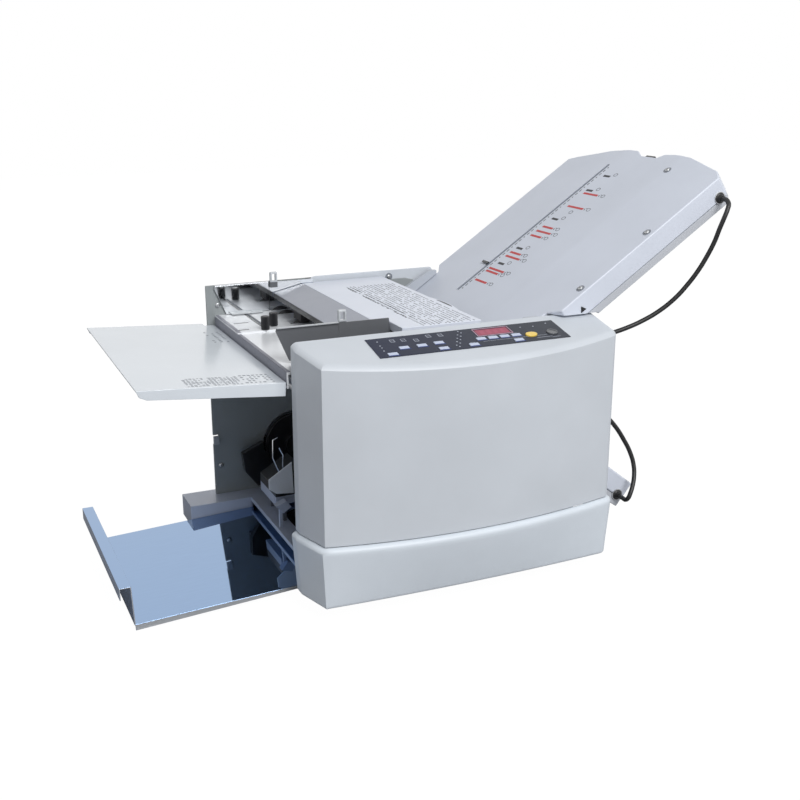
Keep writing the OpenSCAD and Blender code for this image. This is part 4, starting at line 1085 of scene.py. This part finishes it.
def key_caps():
    half_w, half_d = 7, 3.25
    for i, (p, q) in enumerate(KEYS, 1):
        name = f"key_{i:02d}"
        parts = [block("cap", (p - half_w, -q - half_d, -0.2), (p + half_w, -q + half_d, 1.8), KEY, panel),
                 block("stem", (p - 2, -q - 2, -1.6), (p + 2, -q + 2, 0.3), BLACK, panel)]
        rounded(name + "_cap", parts, 0.5, name, "key_blue", name)


def push_buttons():
    p, q = START_AT
    oval = arc(p, -q, 9, 6, 0, TAU, 45)[:-1]
    start = prism("start", oval, -0.2, 3.2, START, panel)
    rounded("start_cap", [start], 1.1, "start_button", "start_yellow", "start_button", segments=4)
    p, q = STOP_AT
    profile = [(0, -0.2), (8, -0.2), (8, 2.2), (7.4, 3.0), (6.3, 3.0), (5.9, 2.3), (5.2, 2.2), (0, 2.4)]
    stop = lathe("stop_cap", profile, panel.moved(p, -q), STOP)
    stands_for(stop, "stop_button", "stop_grey", "stop_button")


def panel_prints():
    """Lamps, signs and lines printed on the film, generic marks only, and dark blue strips painted as the
    shadows below the keys.
    """
    top, rim, line = 0.98, 1.1, 0.7

    def marks(places, width, depth, thick=BOLD):
        return [(panel, p, -q, top, width, depth, thick, 0) for p, q in places]

    def outlined(p, q, width, depth, stroke, over, thick):
        """The four sides of a printed rectangle; its level sides run over the corners."""
        return (marks([(p - width / 2, q), (p + width / 2, q)], stroke, depth, thick) +
                marks([(p, q - depth / 2), (p, q + depth / 2)], width + over, stroke, thick))

    lamps = [(13.9, 10), (13.2, 22), (13.4, 28), (12.6, 37), (230, 12), (250, 13), (273, 8)]
    lamps += [(136 - 23 * k / 9 + 5 * (k % 2), 5 + 43 * k / 9) for k in range(10)]
    signs = [(34.8, 11.8), (50.6, 12.4), (67.9, 16.4), (89.2, 8.8), (106.8, 9.7)]
    bars = marks(signs, 4.4, 0.6)
    for p, q in signs:
        bars += outlined(p, q, 6, 7, line, line, BOLD)
    bars += marks([(p, q - 5.4) for p, q in KEYS[5:10]], 8, 0.6)
    bars += marks([(207, 41.2)], 100, 0.5) + marks([(250, 47.5)], 24, line) + marks([(267, 50)], 13, 0.6)
    # A dark blue strip below each key, painted as its shadow.
    shades = marks([(p + 0.7, q + 4.3) for p, q in KEYS], 15.4, 1.5)
    p, q = DISPLAY_AT
    figures = [(panel, p - 16 + 10.5 * k, -q, 0.72, 6.0, 10.5, 0.06, 0) for k in range(4)]
    glass = block("display_window", (p - 25, -q - 8.5, 0.55), (p + 25, -q + 8.5, 0.75), DISPLAY, panel)
    stands_for(settle(glass), FIXED, "panel_navy")
    square, disc = unit_shape(4, INK_PALE), unit_shape(16, INK_PALE)
    lay("panel_navy", ("panel_lamps", marks(lamps, 2.2, 2.2), disc, INK_PALE),
        ("panel_lines", bars, square, INK_PALE), ("key_shades", shades, square, KEY_SHADE),
        ("display_rim", outlined(p, q, 54, 21, rim, 0, 0.3), square, DISPLAY_EDGE),
        ("display_figures", figures, square, DISPLAY_LIT))
    drop(square, disc)


# ---- prints and fastenings

field = upper.moved(h=CROWN)
lid = work.moved(h=LID_TOP)


def plate_scale():
    """The scale beside the slot of the upper plate: ticks, black size marks and red fold bars."""
    square = unit_shape(4, INK)
    ring = lathe("ring", [(0.36, 0), (0.36, 1), (0.5, 1), (0.5, 0), (0.36, 0)], plain, INK_GREY, 16)
    ticks = [(field, u, SLOT_Y - 11.5, 0, 5.5 if k % 3 else 2.5, 1.8, THIN, 0)
             for k, u in enumerate(range(-18, 312, 9))]
    band = [(field, 145, SLOT_Y - 4.2, 0, 338, 4.4, THIN, 0)]
    sizes = [286, 247, 170, 92, 52]
    black = [(field, u, 31, 0, 4.5, 18, BOLD, 0) for u in sizes]
    circles = [(u + 6, 13) for u in sizes + [186]]
    red, ends = [], []
    for u, high, low in ((239, 38, -3), (204, 38, -7), (149, 39, 9), (137, 42, -1), (125, 43, 11), (80, 43, 10),
                         (70, 43, -1), (37, 48, 0), (30, 47, 9), (6.5, 47, 10)):
        red.append((field, u, (high + low) / 2, 0, 4.2, high - low, BOLD, 0))
        ends += [(field, u, low - 4, 0, 4, 2, BOLD, 25), (field, u + 3, low - 8, 0, 1.2, 5, BOLD, 0)]
        circles.append((u + 1, low - 14))
    rings = [(field, u, y, 0, 8, 9.5, THIN, 0) for u, y in circles]
    lay("plate_grey", ("scale_ticks", ticks, square, INK), ("scale_band", band, square, INK_BAND),
        ("scale_marks", black, square, INK), ("scale_bars", red, square, INK_RED),
        ("scale_signs", ends, square, INK_GREY), ("scale_rings", rings, ring, INK_GREY))
    drop(square, ring)


def dash_tree():
    """Rows of short dashes of random length, as a printed table seen from afar."""
    grow = Grow("dash_rows", Rows=10, Columns=30, Height=0.1, Breadth=0.1, Keep=0.8, Seed=7, Ink=INK,
                Shape=None)
    given = grow.given("Rows", "Columns", "Height", "Breadth", "Keep", "Seed", "Ink")
    grid = grow.node("GeometryNodeMeshGrid", inputs={
        "Size X": given["Breadth"], "Size Y": given["Height"],
        "Vertices X": given["Columns"], "Vertices Y": given["Rows"]})
    chance = grow.node("FunctionNodeRandomValue", {"data_type": "BOOLEAN"},
                       {"Probability": given["Keep"], "Seed": given["Seed"]}, 3)
    size = grow.node("FunctionNodeRandomValue", {"data_type": "FLOAT_VECTOR"},
                     {0: (0.5, 0.85, 1.0), 1: (1.0, 1.0, 1.0), "Seed": given["Seed"]})
    return grow.finish(grow.copies(Points=grid, Selection=chance, Scale=size), given["Ink"])


def print_block(tree, name, put, low, high, rows, columns, dash, keep, seed, body, slot, ink):
    """A block of dashes that fills a rectangle of a face."""
    (a, b), (c, d), (width, depth) = low, high, dash
    token = block("dash", (-width * MM / 2, -depth * MM / 2, 0), (width * MM / 2, depth * MM / 2, THIN * MM),
                  ink, plain)
    obj = tree.apply(shape(name, [(0, 0, 0)], [], ink), Rows=rows, Columns=columns, Breadth=(c - a) * MM,
                     Height=(d - b) * MM, Keep=keep, Seed=seed, Ink=ink, Shape=token)
    obj.data.transform(put.matrix((a + c) / 2, (b + d) / 2))
    drop(token)
    stands_for(obj, body, slot)


def prints():
    """The charts on the lid and the marks on the feed table."""
    tree = dash_tree()
    on_lid, on_table = ("top_cover", "lid_grey"), ("feed_table", "table_white")
    for i, (x0, x1, lines) in enumerate(((197, 214, 4), (221, 238, 4), (245, 276, 6))):
        print_block(tree, f"lid_chart_{i}", lid, (x0, -174), (x1, 112), 44, lines, (2.2, 5.2), 0.8, 11 + i,
                    *on_lid, INK_GREY)
    print_block(tree, "lid_heads", lid, (195, -120), (203, 110), 26, 2, (3.0, 7.0), 0.7, 31, *on_lid, INK)
    for name, low_at, high_at, rows, columns, dash, seed in (
            ("table_print", (-128, -175), (-58, -138), 9, 15, (4.2, 2.0), 5),
            ("table_figure", (-50, -172), (-14, -136), 5, 7, (4.2, 3.6), 6),
            ("table_marks", (-30, 62), (-10, 126), 8, 3, (4.4, 4.2), 8)):
        print_block(tree, name, table, low_at, high_at, rows, columns, dash, 0.85, seed, *on_table, INK_GREY)


def fastenings():
    """Screws: one recessed head, laid where the frame has them."""
    token = lathe("head", [(0.5, 0), (0.5, 0.45), (0.44, 0.8), (0.3, 1.0), (0, 1.0)], plain, SCREW, 20)
    carve(token, *[block("cut", (-x, -y, 0.5), (x, y, 1.2), SCREW, plain)
                   for x, y in ((0.3, 0.05), (0.05, 0.3))])
    back = Face((0, 242, 0), (-1, 0, 0), (0, 0, 1), (0, 1, 0))
    side = Face(upper.origin + Vector((0, UPPER_HALF, 0)), -upper.right, upper.out, (0, 1, 0))
    places = [(side_view(180), x, z, 0) for x, z in ((1, 361), (-6, 300), (-6, 230), (-6, 90))]
    places += [(side_view(184.5), 301, 383, 0)] + [(back, -x, z, 0) for x in (60, 240, 420) for z in (60, 340)]
    places += [(end_face, y, z, 0) for y in (-120, 120) for z in (212, 340)]
    places += [(side, -u, -12, 0) for u in (190, 100)]
    slope = math.atan(CROWN / (UPPER_HALF + 1 + CREASES[0]))
    across = Vector((0, math.cos(slope), 0)) + upper.out * math.sin(slope)
    for u, y in ((321, -90), (192, -188), (59, -188)):
        spot = upper.origin + upper.right * u + Vector((0, y, 0)) + upper.out * crown(y)
        places.append((Face(spot, upper.right, across, upper.right.cross(across)), 0, 0, 0))
    disc = unit_shape(28, SEAT)
    seats = [(*place, 13, 13, 0.35, 0) for place in places[-3:]] + [(*places[4], 12.5, 12.5, 0.6, 0)]
    lay("plate_grey", ("screw_seats", seats, disc, SEAT))
    heads = spots("screw_heads", [(*place, 8, 8, 2.4, 17 * i) for i, place in enumerate(places)], token, SCREW)
    ready(heads, TURNED_SHARP, False, FIXED, "screw_steel", "screws")
    drop(token, disc)


def small_trim():
    """A latch mark, a black strip painted as the shadow in the upper plate's finger notch, a dark line, a tab,
    and a dark crescent on the lid by its tab painted as the shadow of its finger scoop.
    """
    latch = prism("latch", [(36, -23.5), (46, -23.5), (41, -15)], 0, 1.4, BLACK, upper.side(-UPPER_HALF))
    # A black strip painted as the shadow in the finger notch's opening.
    bar = block("bar", (345.5, -24, 0), (350, -1, 5.5), BLACK, upper)
    line = block("line", (-3, 181, GUIDE_TOP), (160, 182, GUIDE_TOP + 1.4), BLACK)
    tab = block("tab", (-17.4, 173.5, 129), (-8.5, 179, 143), GUIDE_LIP)
    rounded("plate_trim", [latch, bar, line, tab], 0.5, FIXED, "black_plastic")
    # A dark crescent painted as the shadow of the lid's finger scoop by its tab.
    mark = prism("tab_mark", arc(286, -58, 3.4, 26, -math.pi / 2, math.pi, 12), LID_TOP, LID_TOP + 0.15, INK)
    stands_for(settle(mark), "top_cover", "lid_grey")


# ---- nodes that keep their shape

KEPT = ((BASE, "base_grey", 0.8, "base_pan"), (RAIL, "plate_grey", 0.8, "plate_rests"),
        (RAIL, "plate_grey", 0, "end_panel"), (SOLE, "rubber", 0.8, "feet"),
        (REAR_FRAME, "frame_grey", 0.35, "rear_frame"), (FRONT_FRAME, "frame_grey", 0.35, "front_frame"),
        (STEEL, "bright_steel", 0.3, "tie_bars guide_rail hinge_pins"),
        (DECK, "deck_grey", 0.4, "infeed_deck"), (SEPARATOR, "separator_grey", 0.7, "separator_cover"),
        (ROLLER_RUBBER, "roller_rubber", 0, "fold_roller_1 fold_roller_2 fold_roller_3 fold_roller_4"),
        (FEED_RUBBER, "feed_rubber", 0, "feed_roller separator_pad"), (BRONZE, "bronze", 0, "bearings"),
        (MOTOR, "motor_black", 0.5, "drive_motor"), (ALLOY, "alloy", 0, "motor_pulley"),
        (JACKET, "rubber", 0, "drive_belt"), (DRUM, "delivery_black", 0, "delivery_roller"),
        (PLATE_UNDER, "plate_grey", 0.8, "upper_plate_bottom lower_plate_bottom"),
        (BLACK, "black_plastic", 0.5, "upper_stop lower_stop power_rocker power_inlet"),
        (FILM, "panel_navy", 0.2, "control_panel"))


def kept_solids():
    """Finishes copies of the frame's other solids, whose rows in KEPT say how much their edges are softened."""
    for name, material, slot, width in [(name, *row) for *row, names in KEPT for name in names.split()]:
        node = nodes[name]
        obj = linked(name + "_finished", node.data.copy())
        obj.data.materials.clear()
        obj.data.materials.append(material)
        with Edited(obj) as mesh:
            bmesh.ops.remove_doubles(mesh, verts=mesh.verts, dist=SAME_SPOT)
            for face in mesh.faces:
                face.material_index = 0
        if "custom_normal" in obj.data.attributes:
            obj.data.attributes.remove(obj.data.attributes["custom_normal"])
        if width:
            soften(obj, width, 2, 40)
        ready(obj, SHARP, width > 0, node["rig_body"], slot, name)


# ---- studio

def studio():
    """A white floor, darker under the machine, and a sky that is white to the camera and in reflections."""
    white, blueish, card_grey = (1, 1, 1, 1), (0.93, 0.96, 1.0, 1), (0.45, 0.45, 0.46, 1)
    s = new_shade("floor_white")
    seen = s.node("LightPath", output="Is Camera Ray")
    card = s.node("BsdfDiffuse", inputs={"Color": card_grey})
    glow = s.node("Emission", inputs={"Color": white, "Strength": 1.12})
    under = ((0.0, 0.19), (0.03, 0.12))
    away = [axis.maths("ABSOLUTE", axis - middle) > half for axis, (middle, half) in zip(s.axes(), under)]
    outside = away[0].maths("MAXIMUM", *away)
    white_floor = s.end(s.node("MixShader", inputs={0: seen * 0.88 * outside, 1: card, 2: glow}))
    half = 6
    shape("floor", [(-half, -half, 0), (half, -half, 0), (half, half, 0), (-half, half, 0)],
                   [(0, 1, 2, 3)], white_floor)

    world = bpy.data.worlds.new("sky")
    bpy.context.scene.world = world
    sky = Shade(world)
    path = [sky.node("LightPath", output=f"Is {name} Ray") for name in ("Camera", "Glossy", "Transmission")]
    straight = path[0].maths("MAXIMUM", path[0], path[1].maths("MAXIMUM", path[1], path[2]))
    soft = sky.node("Background", inputs={"Color": blueish, "Strength": 0.36})
    bright = sky.node("Background", inputs={"Color": white, "Strength": 1.0})
    sky.end(sky.node("MixShader", inputs={0: straight, 1: soft, 2: bright}), "World")

    lamp("key", (0.3, -2.6, 2.6), (0, 0, 0.2), 2.0, 88)
    lamp("fill", (0.9, 3.0, 0.9), (0, 0, 0.2), 1.6, 24, False)
    bpy.context.scene.view_settings.view_transform = "Standard"


camera()
cords()
glands()
front_cover()
front_skirt()
rear_cover()
upper_plate_top()
lower_plate_top()
feed_table()
delivery_tray()
tray_edge()
delivery_bracket()
dark_edges()
top_cover()
side_guide("front_guide", "front_guide", -138, 1, GUIDE, GUIDE_LIP)
side_guide("rear_guide", "rear_guide", 178, -1, SHEEN, WEDGE)
side_plates()
knob("lock_knob_front", "front_knob", 40, 52)
knob("lock_knob_rear", "rear_knob", 59, 71)
key_caps()
push_buttons()
panel_prints()
plate_scale()
prints()
fastenings()
small_trim()
kept_solids()
studio()
